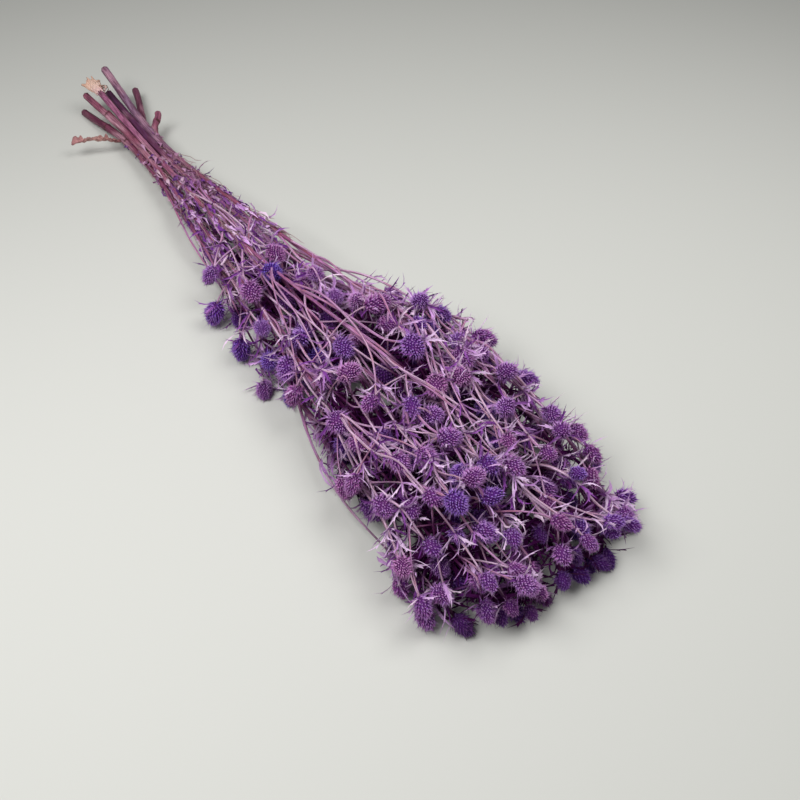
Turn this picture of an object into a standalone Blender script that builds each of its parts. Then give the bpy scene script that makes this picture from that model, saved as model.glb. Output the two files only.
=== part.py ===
"""A bunch of preserved, dyed sea holly lying on a table: nine branched stems and two withered leaves.

Units are metres, +Z is up, and +X runs from the cut stem ends to the flower heads.
Each stem is one solid: its branches, stalks, bracts and bristly heads are joined to it.
"""

import math

import bmesh
import bpy
import numpy as np

# Driving dimensions, in metres
BOX_CENTRE = (0.3422, -0.0004, 0.0)  # the middle of the bunch's box, in the frame that it grows in
HEADS_FROM, HEADS_TO = 0.330, 0.662  # where the first and the last flower heads lie
FORKS_FROM, FORKS_TO = 0.305, 0.628
SIDE_FORKS = 70  # side branches, each ending in a fork with three heads
HEAD_LENGTH = (0.0120, 0.0175)
HEAD_SLIMNESS = (0.76, 0.90)  # width over length
YOUNG_FROM, YOUNG_TO, YOUNG_SIZE = 0.48, 0.63, 0.72  # heads are younger, and so smaller, towards the tips
SMALL_WIDTH = 0.0092  # heads slimmer than this have fewer sides
BRACT_LENGTH = (0.0105, 0.0155)
LEAF_LENGTH = (0.0120, 0.0190)
LEAVES_IN_WHORL = 3
MIDDLE_STALK = (0.0080, 0.0200)
SIDE_STALK = (0.0180, 0.0380)
BRANCH_REACH = (0.070, 0.135)  # how far behind its fork a side branch leaves its stem
STEM_TIP_RADIUS = 0.0016
BRANCH_RADIUS = 0.0012
FORK_RADIUS = 0.0016
STALK_RADIUS = 0.0009
NEEDLE_RADIUS = 0.0010
CLEARANCE = 0.0004  # kept between the growth of two stems
WHORL_SETBACK = 0.0045  # leaves stand this far before their fork
STALK_SETBACKS = (0.0, 0.0004, 0.0028)  # so far before it the middle and the two side stalks leave
NEAR_TABLE = 0.0045  # heads this near to the table sag onto it
PRESSED = 0.0008  # how much of the lowest heads and cut ends the table has pressed flat
LEAF_THICKNESS = 0.0007
BRANCH_BOW = 0.045  # spread of a branch's bow, as a share of its span
SHORTEST_BRANCH, LOWEST_BRANCH = 0.028, 0.0035
FORK_SHIFT, DIRECT_ATTEMPTS = 0.0035, 12  # a fork moves off its place only after so many routes have failed
FORK_HEIGHT, UNDER_BACK, BESIDE_EDGES = 0.009, 0.008, 0.020  # where the scattered forks keep to
FARTHEST_OUT, DEEPEST_UNDER = 0.009, 0.012  # a head past the outline, or under the table, by more is dropped
LOWEST_TIP = 0.0012
PAST_FORK = 0.0010  # a branch without a middle stalk ends so far past its fork
LEAF_GAP = 0.0003  # between a withered leaf and the stem that it touches
FACES_KEPT = 0.69  # of those that a union leaves, most of them slivers where tubes meet

# The outline of the flowering part seen from above, and the height of its back, at stations along X
STATIONS = (0.300, 0.340, 0.380, 0.430, 0.480, 0.540, 0.600, 0.640, 0.670)
LEFT_EDGE = (-0.042, -0.056, -0.064, -0.061, -0.062, -0.071, -0.077, -0.075, -0.066)
RIGHT_EDGE = (0.010, 0.018, 0.028, 0.050, 0.070, 0.069, 0.075, 0.074, 0.064)
EDGE_FALL = 0.58  # share of the back's height that is lost towards the edges
BACK = (0.030, 0.044, 0.054, 0.062, 0.068, 0.070, 0.066, 0.058, 0.048)

# Each stem: its cut end, its place at the waist, its middle and its last fork; then its radius at the cut
STEMS = (
    (((0.022, -0.004, 0.0262), (0.150, -0.0062, 0.0172), (0.330, 0.004, 0.040), (0.500, 0.028, 0.054)), 0.0031),
    (((0.041, -0.0110, 0.0132), (0.150, -0.0120, 0.0172), (0.330, -0.011, 0.030), (0.535, -0.022, 0.042)), 0.0029),
    (((0.052, -0.023, 0.0270), (0.150, -0.0178, 0.0172), (0.330, -0.022, 0.041), (0.520, -0.005, 0.060)), 0.0025),
    (((0.038, -0.031, 0.0160), (0.150, -0.0236, 0.0172), (0.330, -0.033, 0.028), (0.510, -0.047, 0.038)), 0.0028),
    (((0.040, -0.0375, 0.0022), (0.150, -0.0266, 0.0121), (0.330, -0.037, 0.013), (0.530, -0.058, 0.015)), 0.0030),
    (((0.062, -0.022, 0.0070), (0.150, -0.0208, 0.0121), (0.330, -0.022, 0.014), (0.555, -0.030, 0.016)), 0.0027),
    (((0.078, -0.0120, 0.0020), (0.150, -0.0150, 0.0121), (0.330, -0.007, 0.015), (0.560, 0.006, 0.020)), 0.0028),
    (((0.040, 0.014, 0.0080), (0.150, -0.0092, 0.0121), (0.330, 0.004, 0.026), (0.540, 0.036, 0.026)), 0.0028),
    (((0.106, 0.0105, 0.0175), (0.150, -0.0034, 0.0121), (0.350, 0.014, 0.016), (0.500, 0.054, 0.034)), 0.0026),
)
STEM_RINGS = 10
STEM_SIDES = 6

# Forks that lie in full view on the back and the edges of the bunch; the others follow an even scatter
SHOWN_FORKS = (
    (0.517, -0.005, 0.060),
    (0.574, -0.002, 0.058),
    (0.556, -0.052, 0.044),
    (0.592, 0.027, 0.054),
    (0.590, -0.058, 0.036),
    (0.612, -0.012, 0.046),
    (0.489, 0.060, 0.040),
    (0.551, 0.057, 0.038),
    (0.375, -0.010, 0.044),
    (0.618, 0.052, 0.010),
    (0.606, -0.062, 0.009),
    (0.440, 0.034, 0.009),
    (0.410, -0.050, 0.008),
    (0.628, -0.036, 0.022),
    (0.440, -0.020, 0.052),
    (0.455, 0.022, 0.052),
    (0.400, -0.046, 0.034),
    (0.628, 0.018, 0.036),
    (0.634, 0.012, 0.010),
    (0.632, 0.046, 0.026),
    (0.634, -0.016, 0.010),
    (0.620, -0.046, 0.036),
    (0.585, -0.066, 0.014),
    (0.600, -0.050, 0.034),
    (0.492, -0.054, 0.020),
)

SCATTER = (0.8191725134, 0.6710436067, 0.5497004779)  # steps of an even three-way sequence
TOWARDS_TIPS = 0.85  # below 1 the scatter is denser towards the tips
SEED = 7
STRAND, HEAD, BRACT = range(3)  # kinds of growth, which are also the slots of a stem's materials

OUTER_SIDES, INNER_SIDES = 4, 3  # sides of a head and its stalk, in view and deep inside the bunch
DEEP_INSIDE = 0.016
LOWER_RING, UPPER_RING = 0.30, 0.72  # places of a head's two rings along it
FLORET_ROOTS = 0.84  # where florets grow from, as a share of the head's outer surface


def unit(v):
    return v / np.linalg.norm(v)


def spline(knots, count):
    """Points on a smooth curve through the knots, as many as asked for."""
    knots = np.array(knots, float)
    t = np.linspace(0, len(knots) - 1, count)
    i = np.minimum(t.astype(int), len(knots) - 2)
    slopes = np.gradient(knots, axis=0)
    s = (t - i)[:, None]
    return (
        (2 * s**3 - 3 * s**2 + 1) * knots[i]
        + (s**3 - 2 * s**2 + s) * slopes[i]
        + (3 * s**2 - 2 * s**3) * knots[i + 1]
        + (s**3 - s**2) * slopes[i + 1]
    )


def square_to(direction):
    """Two unit vectors square to a direction and to each other; the first is level unless it points up."""
    pole = np.array([0.0, 0.0, 1.0]) if abs(direction[2]) < 0.9 else np.array([1.0, 0.0, 0.0])
    u = unit(np.cross(pole, direction))
    return u, np.cross(direction, u)


def leaning(axis, tilt, turn):
    """A unit vector tilted off an axis, towards the side that the turn gives."""
    u, v = square_to(axis)
    return math.cos(tilt) * axis + math.sin(tilt) * (math.cos(turn) * u + math.sin(turn) * v)


def stem_radii(radius):
    return np.linspace(radius, STEM_TIP_RADIUS, STEM_RINGS)


def branch_radii(count):
    """A branch is slimmer along the way than at its root and its fork."""
    return np.append(np.linspace(FORK_RADIUS, BRANCH_RADIUS, count - 1), FORK_RADIUS)


def distances(a, b, p, q):
    """The least distances from the segment ab to each of the segments pq."""
    d, e, w = b - a, q - p, a - p
    dd, ee = max(d @ d, 1e-12), np.maximum((e * e).sum(1), 1e-12)
    de, dw, ew = e @ d, w @ d, (e * w).sum(1)
    s = np.clip((de * ew - dw * ee) / np.maximum(dd * ee - de * de, 1e-14), 0, 1)
    for _ in range(3):
        t = np.clip((de * s + ew) / ee, 0, 1)
        s = np.clip((de * t - dw) / dd, 0, 1)
    return np.linalg.norm(w + s[:, None] * d - t[:, None] * e, axis=1)


class Thicket:
    """All that has grown so far, as round-ended rods, so that what grows next can keep clear of it."""

    def __init__(self):
        self.starts, self.ends = np.zeros((0, 3)), np.zeros((0, 3))
        self.radii = np.zeros(0)
        self.stems, self.kinds = np.zeros(0, int), np.zeros(0, int)

    def add(self, points, radius, stem, kind):
        count = len(points) - 1
        self.starts = np.vstack([self.starts, points[:-1]])
        self.ends = np.vstack([self.ends, points[1:]])
        self.radii = np.append(self.radii, np.full(count, radius))
        self.stems = np.append(self.stems, np.full(count, stem))
        self.kinds = np.append(self.kinds, np.full(count, kind))

    def gap(self, points, radius, chosen):
        """The least gap from a chain of rods to the chosen growth."""
        p, q, r = self.starts[chosen], self.ends[chosen], self.radii[chosen]
        pairs = zip(points[:-1], points[1:], strict=True)
        return min((distances(a, b, p, q) - r).min(initial=1.0) for a, b in pairs) - radius

    def others(self, stem):
        """Picks the growth of the other stems."""
        return self.stems != stem

    def others_or_heads(self, stem):
        """Picks the growth of the other stems, and the heads of all stems."""
        return (self.stems != stem) | (self.kinds == HEAD)

    def own(self, stem):
        """Picks the growth of this stem, which may be touched, but rather isn't."""
        return self.stems == stem


def back_height(point):
    """The height of the bunch's rounded back over a point."""
    left, right, top = (np.interp(point[0], STATIONS, edge) for edge in (LEFT_EDGE, RIGHT_EDGE, BACK))
    off_middle = min(abs(2 * point[1] - left - right) / (right - left), 1.0)
    return top * (1 - EDGE_FALL * off_middle**2.5)


def depth_inside(point, margin):
    """How far a ball round the point stays within the outline, under the back and above the table."""
    left, right = (np.interp(point[0], STATIONS, edge) for edge in (LEFT_EDGE, RIGHT_EDGE))
    walls = (
        point[1] - left,
        right - point[1],
        back_height(point) - point[2],
        point[2] + PRESSED,
        HEADS_TO - point[0],
        point[0] - HEADS_FROM,
    )
    return min(walls) - margin


def fork_places():
    """The shown forks, then an even scatter through the flowering part, slightly denser towards the tips."""
    places = [np.array(place) for place in SHOWN_FORKS]
    for index in range(SIDE_FORKS - len(SHOWN_FORKS)):
        along, aside, up = ((0.5 + step * (index + 1)) % 1.0 for step in SCATTER)
        x = FORKS_FROM + (FORKS_TO - FORKS_FROM) * along**TOWARDS_TIPS
        left, right = (np.interp(x, STATIONS, edge) for edge in (LEFT_EDGE, RIGHT_EDGE))
        off_middle = 2 * aside - 1
        aside = math.copysign(abs(off_middle) ** 0.8, off_middle)
        y = (left + right) / 2 + (right - left - BESIDE_EDGES) / 2 * aside
        place = np.array([x, y, FORK_HEIGHT])
        place[2] += (back_height(place) - UNDER_BACK - FORK_HEIGHT) * up**0.65
        places.append(place)
    return places


def branch_route(start, slope, end, bow):
    """Four points of an arc that leaves a stem along it and ends at a fork."""
    span = np.linalg.norm(end - start)
    knee = start + (slope * 0.40 + bow) * span
    t = np.linspace(0, 1, 4)[:, None]
    return (1 - t) ** 2 * start + 2 * t * (1 - t) * knee + t**2 * end


def part_way(points, share):
    """The same chain without the given share of its first rod."""
    return np.vstack([points[0] * (1 - share) + points[1] * share, points[1:]])


def grow_branches(thicket, stems, rng):
    """Routes to all forks: the stems' own last ones, then side branches clear of the other stems."""
    forks = [{"stem": i, "route": stem[-2:], "side": False} for i, stem in enumerate(stems)]
    load = np.zeros(len(stems))
    for place in fork_places():
        best = None
        for attempt in range(90):
            stem = int(rng.integers(len(stems)))
            line = stems[stem]
            k = int(np.argmin(abs(line[:, 0] - (place[0] - rng.uniform(*BRANCH_REACH)))))
            k = min(max(k, 4), len(line) - 2)
            end = place + rng.normal(0, FORK_SHIFT, 3) * (attempt > DIRECT_ATTEMPTS)
            bow = rng.normal(0, BRANCH_BOW, 3) * np.array([0.3, 1.0, 1.0])
            route = branch_route(line[k], unit(line[k + 1] - line[k]), end, bow)
            if end[0] - line[k][0] < SHORTEST_BRANCH or route[:, 2].min() < LOWEST_BRANCH:
                continue
            gap = thicket.gap(route, FORK_RADIUS, thicket.others(stem))
            own_gap = thicket.gap(part_way(route[1:], 0.4), FORK_RADIUS, thicket.own(stem))
            swerve = np.linalg.norm(end[1:] - line[k][1:]) / (end[0] - line[k][0])
            score = 1000 * min(gap - CLEARANCE, 0.0) + 100 * min(own_gap, 0.0) - swerve - 0.25 * load[stem]
            if best is None or score > best[0]:
                best = (score, stem, route, gap)
        if best is None or best[3] < CLEARANCE:
            continue
        _, stem, route, _ = best
        load[stem] += 1
        thicket.add(route, FORK_RADIUS, stem, STRAND)
        forks.append({"stem": stem, "route": route, "side": True})
    return forks


def grow_heads(thicket, forks, rng):
    """Three stalks from every fork, each with a head at its end, clear of all heads and of other stems.

    The middle stalk runs on from a side branch as one line; the others leave it just before the fork.
    """
    heads = []
    for fork in forks:
        node = fork["route"][-1]
        back = unit(fork["route"][-2] - node)
        onward = unit(np.array([0.3, 0.0, 0.0]) - back)
        first_turn = rng.uniform(0, 2 * math.pi)
        for place in range(3):
            length = rng.uniform(*HEAD_LENGTH) * np.interp(node[0], (YOUNG_FROM, YOUNG_TO), (1.0, YOUNG_SIZE))
            width = length * rng.uniform(*HEAD_SLIMNESS)
            bulk = width / 2
            best = None
            for attempt in range(160):
                loose = 1 + attempt / 45
                stalk = rng.uniform(*(SIDE_STALK if place else MIDDLE_STALK)) * (0.9 + 0.1 * loose)
                tilt = math.radians(rng.uniform(20, 42) if place else rng.uniform(0, 10)) * loose
                turn = first_turn + 2.1 * place + rng.normal(0, 0.25) * loose
                way = leaning(onward, min(tilt, 1.5), turn)
                root = node + STALK_SETBACKS[place] * back
                neck = root + way * stalk
                axis = unit(way + np.array([0.3, 0.0, -0.1]) + rng.normal(0, 0.15, 3))
                crown = neck + axis * length
                lowest = min(neck[2], crown[2]) + bulk * 0.4 - bulk + PRESSED
                if -DEEPEST_UNDER < lowest < NEAR_TABLE:
                    neck, crown = neck - [0, 0, lowest], crown - [0, 0, lowest]
                core = np.array([neck + axis * bulk * 0.8, crown - axis * bulk * 0.8])
                rod = np.array([root, neck])
                outside = min(depth_inside((neck + crown) / 2, bulk), 0.0)
                if best is not None and outside <= best[0] or outside < -FARTHEST_OUT:
                    continue
                chosen = thicket.others_or_heads(fork["stem"])
                if min(thicket.gap(core, bulk, chosen), thicket.gap(rod, STALK_RADIUS, chosen)) < CLEARANCE:
                    continue
                chosen = thicket.own(fork["stem"])
                own_gap = min(
                    thicket.gap(core, bulk, chosen), thicket.gap(part_way(rod, 0.4), STALK_RADIUS, chosen)
                )
                score = outside + 0.5 * min(own_gap, 0.0)
                if best is None or score > best[0]:
                    best = (score, rod, axis, core)
                if score >= 0:
                    break
            if best is None:
                continue
            _, rod, axis, core = best
            thicket.add(core, bulk, fork["stem"], HEAD)
            thicket.add(rod, STALK_RADIUS, fork["stem"], STRAND)
            line, radii = rod, np.array([STALK_RADIUS, STALK_RADIUS])
            if fork["side"] and place == 0:
                line = np.vstack([fork["route"], rod[1]])
                radii = np.append(branch_radii(len(fork["route"])), STALK_RADIUS)
                fork["runs_on"] = True
            deep = depth_inside(core.mean(axis=0), 0.0) > DEEP_INSIDE
            sides = INNER_SIDES if deep or width < SMALL_WIDTH else OUTER_SIDES
            head = {"stem": fork["stem"], "line": line, "radii": radii, "neck": rod[1], "axis": axis}
            head |= {"length": length, "width": width, "spin": rng.uniform(0, math.pi), "sides": sides}
            heads.append(head)
    return heads


def free_needle(thicket, stem, root, outward, onward, length):
    """The tip of a needle that is clear of all but its root: straight out, else bent or shorter, else None."""
    for share in (1.0, 0.8, 0.65, 0.5):
        for bend in (0.20, 0.50, -0.10, 0.80, -0.35):
            tip = root + unit(outward + bend * onward) * length * share
            tip[2] = max(tip[2], LOWEST_TIP)
            rod = np.array([root, tip])
            gap = thicket.gap(rod, NEEDLE_RADIUS, thicket.others(stem))
            own_gap = thicket.gap(part_way(rod, 0.55), NEEDLE_RADIUS, thicket.own(stem))
            if gap > CLEARANCE and own_gap > 0:
                return tip
    return None


def head_spokes(head):
    """Unit vectors square to a head's axis, one for each of its bracts."""
    u, v = square_to(head["axis"])
    turns = head["spin"] + np.arange(head["sides"]) * 2 * math.pi / head["sides"]
    return np.cos(turns)[:, None] * u + np.sin(turns)[:, None] * v


def grow_bracts(thicket, heads, rng):
    """A collar of bracts under each head, each a free tip or None."""
    for head in heads:
        head["bracts"] = []
        for outward in head_spokes(head):
            root = head["neck"] + 0.16 * head["length"] * head["axis"] + 0.2 * head["width"] * outward
            length = rng.uniform(*BRACT_LENGTH)
            tip = free_needle(thicket, head["stem"], root, outward, head["axis"], length)
            if tip is not None:
                thicket.add(np.array([root, tip]), NEEDLE_RADIUS, head["stem"], BRACT)
            head["bracts"].append(tip)


def grow_leaves(thicket, forks, stems, rng):
    """Spiny leaves as needles: a whorl at each fork, and two whorls left on each stem below its flowers."""
    sites = []
    for fork in forks:
        onward = unit(fork["route"][-1] - fork["route"][-2])
        sites.append((fork["stem"], fork["route"][-1] - WHORL_SETBACK * onward, onward))
    for i, line in enumerate(stems):
        for k in (4, 5):
            share = rng.uniform(0.2, 0.8)
            sites.append((i, line[k] * (1 - share) + line[k + 1] * share, unit(line[k + 1] - line[k])))
    leaves = []
    for stem, root, onward in sites:
        first = rng.uniform(0, 2 * math.pi)
        for k in range(LEAVES_IN_WHORL):
            turn = first + k * 2 * math.pi / LEAVES_IN_WHORL + rng.normal(0, 0.2)
            outward = leaning(onward, math.pi / 2, turn)
            tip = free_needle(thicket, stem, root, outward, onward, rng.uniform(*LEAF_LENGTH))
            if tip is not None:
                thicket.add(np.array([root, tip]), NEEDLE_RADIUS, stem, BRACT)
                leaves.append({"stem": stem, "root": root, "tip": tip})
    return leaves


def grow():
    """The whole bunch: stems, forks, heads and leaves."""
    rng = np.random.default_rng(SEED)
    thicket = Thicket()
    stems = [spline(knots, STEM_RINGS) for knots, _ in STEMS]
    for i, (line, (_, radius)) in enumerate(zip(stems, STEMS, strict=True)):
        for k, rod_radius in enumerate(stem_radii(radius)[:-1]):
            thicket.add(line[k : k + 2], rod_radius, i, STRAND)
    forks = grow_branches(thicket, stems, rng)
    heads = grow_heads(thicket, forks, rng)
    grow_bracts(thicket, heads, rng)
    leaves = grow_leaves(thicket, forks, stems, rng)
    return stems, forks, heads, leaves


def rings_round(points, directions, radii, sides, frame=None, turn=0.0):
    """Rings of points round a line, each square to its direction; a frame fixes which way they face."""
    angles = turn + np.arange(sides) * 2 * math.pi / sides
    rings = []
    for point, direction, radius in zip(points, directions, radii, strict=True):
        u, v = square_to(direction)
        if frame is not None:
            u = unit(frame - (frame @ direction) * direction)
            v = np.cross(direction, u)
        rings.append(point + radius * (np.cos(angles)[:, None] * u + np.sin(angles)[:, None] * v))
    return np.vstack(rings)


def tube_faces(rings, sides):
    """The triangles of a closed tube over its rings, caps included."""
    faces = []
    for r in range(rings - 1):
        for k in range(sides):
            a, b = r * sides + k, r * sides + (k + 1) % sides
            faces += [(a, b, b + sides), (a, b + sides, a + sides)]
    last = (rings - 1) * sides
    faces += [(0, k + 1, k) for k in range(1, sides - 1)]
    faces += [(last, last + k, last + k + 1) for k in range(1, sides - 1)]
    return faces


def tube(points, radii, sides):
    """A closed tube along a line, as points, triangles and their slots."""
    points = np.array(points)
    slopes = np.gradient(points, axis=0)
    directions = slopes / np.linalg.norm(slopes, axis=1)[:, None]
    faces = tube_faces(len(points), sides)
    return rings_round(points, directions, radii, sides), faces, [STRAND] * len(faces)


def needle(root, tip):
    """A three-sided needle: its broad end is sunk at the root."""
    direction = unit(tip - root)
    ring = rings_round([root], [direction], [NEEDLE_RADIUS], 3)
    return np.vstack([ring, tip]), [(0, 2, 1), (0, 1, 3), (1, 2, 3), (2, 0, 3)], [BRACT] * 4


def head_solid(head):
    """A stalk and its head in one closed mesh.

    Two rings and a top make the head's core. Every face of the core above the lower ring is raised to a
    floret's point on the ovoid round it, and the narrow faces at the neck are drawn out into the bracts.
    """
    n, axis, length = head["sides"], head["axis"], head["length"]
    line, rows = head["line"], len(head["line"])
    half_turn = math.pi / n
    frame = head_spokes(head)[0]
    directions = [unit(d) for d in np.gradient(line, axis=0)[:-1]] + [unit(unit(line[-1] - line[-2]) + axis)]
    stalk = rings_round(line, directions, head["radii"], n, frame, -half_turn)

    def core_ring(share, turn):
        centre = head["neck"] + axis * length * share
        radius = head["width"] / 2 * math.sqrt(1 - (2 * share - 1) ** 2) * FLORET_ROOTS
        return rings_round([centre], [axis], [radius], n, frame, turn)

    top = head["neck"] + axis * length * (1 + FLORET_ROOTS) / 2
    points = np.vstack([stalk, core_ring(LOWER_RING, 0.0), core_ring(UPPER_RING, -half_turn), top])
    faces = tube_faces(rows, n)[: 2 * n * (rows - 1) + n - 2]
    slots = [STRAND] * len(faces)
    neck, low, high, crown = ((rows + k) * n for k in (-1, 0, 1, 2))
    middle = head["neck"] + axis * length / 2
    sizes = np.array([head["width"], head["width"], length]) / 2
    local = np.array([*square_to(axis), axis])

    def raised(corners, tip, slot):
        nonlocal points
        points = np.vstack([points, tip])
        new = len(points) - 1
        a, b, c = corners
        faces.extend([(a, b, new), (b, c, new), (c, a, new)])
        slots.extend([slot] * 3)

    def floret(*corners):
        centre = local @ (points[list(corners)].mean(axis=0) - middle)
        raised(corners, middle + (centre / np.linalg.norm(centre / sizes)) @ local, HEAD)

    for k in range(n):
        j = (k + 1) % n
        if head["bracts"][k] is None:
            faces.append((neck + k, neck + j, low + k))
            slots.append(BRACT)
        else:
            raised((neck + k, neck + j, low + k), head["bracts"][k], BRACT)
        faces.append((neck + j, low + j, low + k))
        slots.append(HEAD)
        floret(low + k, low + j, high + j)
        floret(high + k, low + k, high + j)
        floret(high + k, high + j, crown)
    return points, faces, slots


def blade(middle, across, thickness):
    """A thin crumpled leaf: a grid of middle points, with a face on either side along the across vectors."""
    rows, columns = middle.shape[:2]
    top = (middle + across * thickness / 2).reshape(-1, 3)
    under = (middle - across * thickness / 2).reshape(-1, 3)
    count = rows * columns
    faces = []
    for r in range(rows - 1):
        for c in range(columns - 1):
            a, b = r * columns + c, r * columns + c + 1
            d, e = a + columns, b + columns
            for corners in ((a, b, e), (a, e, d)):
                faces.append(corners)
                faces.append(tuple(count + k for k in reversed(corners)))
    rim = list(range(columns))
    rim +=[r * columns + columns - 1 for r in range(1, rows)]
    rim += [(rows - 1) * columns + c for c in range(columns - 2, -1, -1)]
    rim += [r * columns for r in range(rows - 2, 0, -1)]
    for a, b in zip(rim, rim[1:] + rim[:1], strict=True):
        faces += [(b, a, count + a), (b, count + a, count + b)]
    return np.vstack([top, under]), faces, [0] * len(faces)


def material(name, colour, roughness):
    made = bpy.data.materials.new(name)
    made.diffuse_color = (*colour, 1.0)
    made.use_nodes = True
    shader = made.node_tree.nodes["Principled BSDF"]
    shader.inputs["Base Color"].default_value = (*colour, 1.0)
    shader.inputs["Roughness"].default_value = roughness
    shader.inputs["Metallic"].default_value = 0.0
    return made


def mesh_object(name, solid, materials):
    """An object from points, triangles and slots, turned the right way out."""
    points, faces, slots = solid
    corners = np.array([points[list(face)] for face in faces])
    if np.linalg.det(corners - points.mean(axis=0)).sum() < 0:
        faces = [face[::-1] for face in faces]
    mesh = bpy.data.meshes.new(name)
    mesh.from_pydata([tuple(map(float, p)) for p in points], [], faces)
    for entry in materials:
        mesh.materials.append(entry)
    mesh.polygons.foreach_set("material_index", slots)
    return bpy.data.objects.new(name, mesh)


def table_slab():
    """What lies under the table's top, which presses the lowest growth flat."""
    bpy.ops.mesh.primitive_cube_add(size=1.0, location=(0.35, 0.0, -0.01))
    slab = bpy.context.object
    slab.name = "table_cutter"
    slab.scale = (0.9, 0.5, 0.02)
    slab.hide_render = True
    slab.display_type = "WIRE"
    return slab


def all_edges_paired(mesh):
    """Whether a mesh has faces, and exactly two of them at each edge."""
    if not mesh.polygons:
        return False
    uses = np.zeros(len(mesh.edges), int)
    edge_of_corner = np.empty(len(mesh.loops), np.int32)
    mesh.loops.foreach_get("edge_index", edge_of_corner)
    np.add.at(uses, edge_of_corner, 1)
    return bool((uses == 2).all())


def largest_body(mesh):
    """Removes every loose scrap from a mesh, and returns how many there were."""
    work = bmesh.new()
    work.from_mesh(mesh)
    left = set(work.verts)
    bodies = []
    while left:
        body, front = set(), {left.pop()}
        while front:
            vert = front.pop()
            body.add(vert)
            fresh = {edge.other_vert(vert) for edge in vert.link_edges} & left
            left -= fresh
            front |= fresh
        bodies.append(body)
    bodies.sort(key=len)
    for body in bodies[:-1]:
        bmesh.ops.delete(work, geom=list(body), context="VERTS")
    work.to_mesh(mesh)
    work.free()
    return len(bodies) - 1


def fuse(name, solids, materials, slab):
    """One object from overlapping solids: a Boolean union joins them, and the table trims the result."""
    base = mesh_object(name, solids[0], materials)
    bpy.context.scene.collection.objects.link(base)
    growth = bpy.data.collections.new(name + "_growth")
    bpy.context.scene.collection.children.link(growth)
    for k, solid in enumerate(solids[1:]):
        growth.objects.link(mesh_object(f"{name}_growth_{k}", solid, materials))
    union = base.modifiers.new("join_growth", "BOOLEAN")
    union.operation = "UNION"
    union.operand_type = "COLLECTION"
    union.collection = growth
    lighten = base.modifiers.new("fewer_faces_at_joints", "DECIMATE")
    lighten.ratio = FACES_KEPT
    trim = base.modifiers.new("press_flat", "BOOLEAN")
    trim.operation = "DIFFERENCE"
    trim.object = slab
    for solver in ("EXACT", "MANIFOLD"):
        union.solver = solver
        graph = bpy.context.evaluated_depsgraph_get()
        fused = bpy.data.meshes.new_from_object(base.evaluated_get(graph))
        scraps = largest_body(fused) if fused.polygons else -1
        if all_edges_paired(fused):
            break
    base.modifiers.clear()
    base.data = fused
    for piece in list(growth.objects):
        bpy.data.objects.remove(piece, do_unlink=True)
    bpy.data.collections.remove(growth)
    triangles = sum(len(face.vertices) - 2 for face in fused.polygons)
    print(f"{name}: {len(solids)} pieces joined by {solver}, {scraps} scraps dropped, {triangles} triangles")
    return base


def stem_solids(index, line, radius, forks, heads, leaves):
    """All that one stem carries, as solids that overlap where they grow together."""
    solids = [tube(line, stem_radii(radius), STEM_SIDES)]
    for fork in forks:
        if fork["stem"] == index and fork["side"] and not fork.get("runs_on"):
            route = fork["route"]
            past_fork = route[-1] + PAST_FORK * unit(route[-1] - route[-2])
            solids.append(tube([*route[:-1], past_fork], branch_radii(len(route)), OUTER_SIDES))
    solids += [head_solid(head) for head in heads if head["stem"] == index]
    solids += [needle(leaf["root"], leaf["tip"]) for leaf in leaves if leaf["stem"] == index]
    return solids


def tan_leaf(line, radius):
    """A dead leaf that clasps the cut end of its stem, with crumpled flaps past the end."""
    rows, columns = 7, 9
    reach = radius + LEAF_GAP + LEAF_THICKNESS / 2
    v, u = np.meshgrid(np.linspace(0, 1, rows), np.linspace(-1, 1, columns), indexing="ij")
    along = unit(line[1] - line[0])
    side, up = square_to(along)
    angle = u * math.radians(105) + 0.15
    outward = np.cos(angle)[..., None] * up + np.sin(angle)[..., None] * side
    flare = 0.0065 * abs(u) ** 3 * (1.1 - v) + 0.0012 * (1 - v) * (1 + np.cos(7 * u + 5 * v)) * abs(u)
    middle = line[0] + ((v - 0.55) * 0.020)[..., None] * along + (reach * 1.12 + flare)[..., None] * outward
    return blade(middle, outward, LEAF_THICKNESS)


def brown_leaf(line, radii):
    """A dead leaf, curled along its length, that stands out sideways from its stem."""
    rows, columns = 12, 4
    root_x = 0.119
    k = int(np.searchsorted(line[:, 0], root_x)) - 1
    share = (root_x - line[k, 0]) / (line[k + 1, 0] - line[k, 0])
    root = line[k] * (1 - share) + line[k + 1] * share
    root = root + [0.0, -(radii[k] + LEAF_GAP + LEAF_THICKNESS / 2), 0.0]
    tip = np.array([0.104, -0.069, 0.0135])
    v, u = np.meshgrid(np.linspace(0, 1, rows), np.linspace(-1, 1, columns), indexing="ij")
    half_width = 0.0034 * np.sin(np.pi * np.clip(0.12 + 0.82 * v, 0, 1)) ** 0.6
    along = unit(tip - root)
    side, up = square_to(along)
    spine = root + v[..., None] * (tip - root) + (0.0035 * np.sin(np.pi * v))[..., None] * up
    curl = 0.45 * u**2 + 0.18 * u * np.sin(9 * v) + 0.12 * np.cos(14 * v)
    middle = spine + (half_width * u)[..., None] * side + (half_width * curl)[..., None] * up
    return blade(middle, np.broadcast_to(up, middle.shape), LEAF_THICKNESS)


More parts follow.
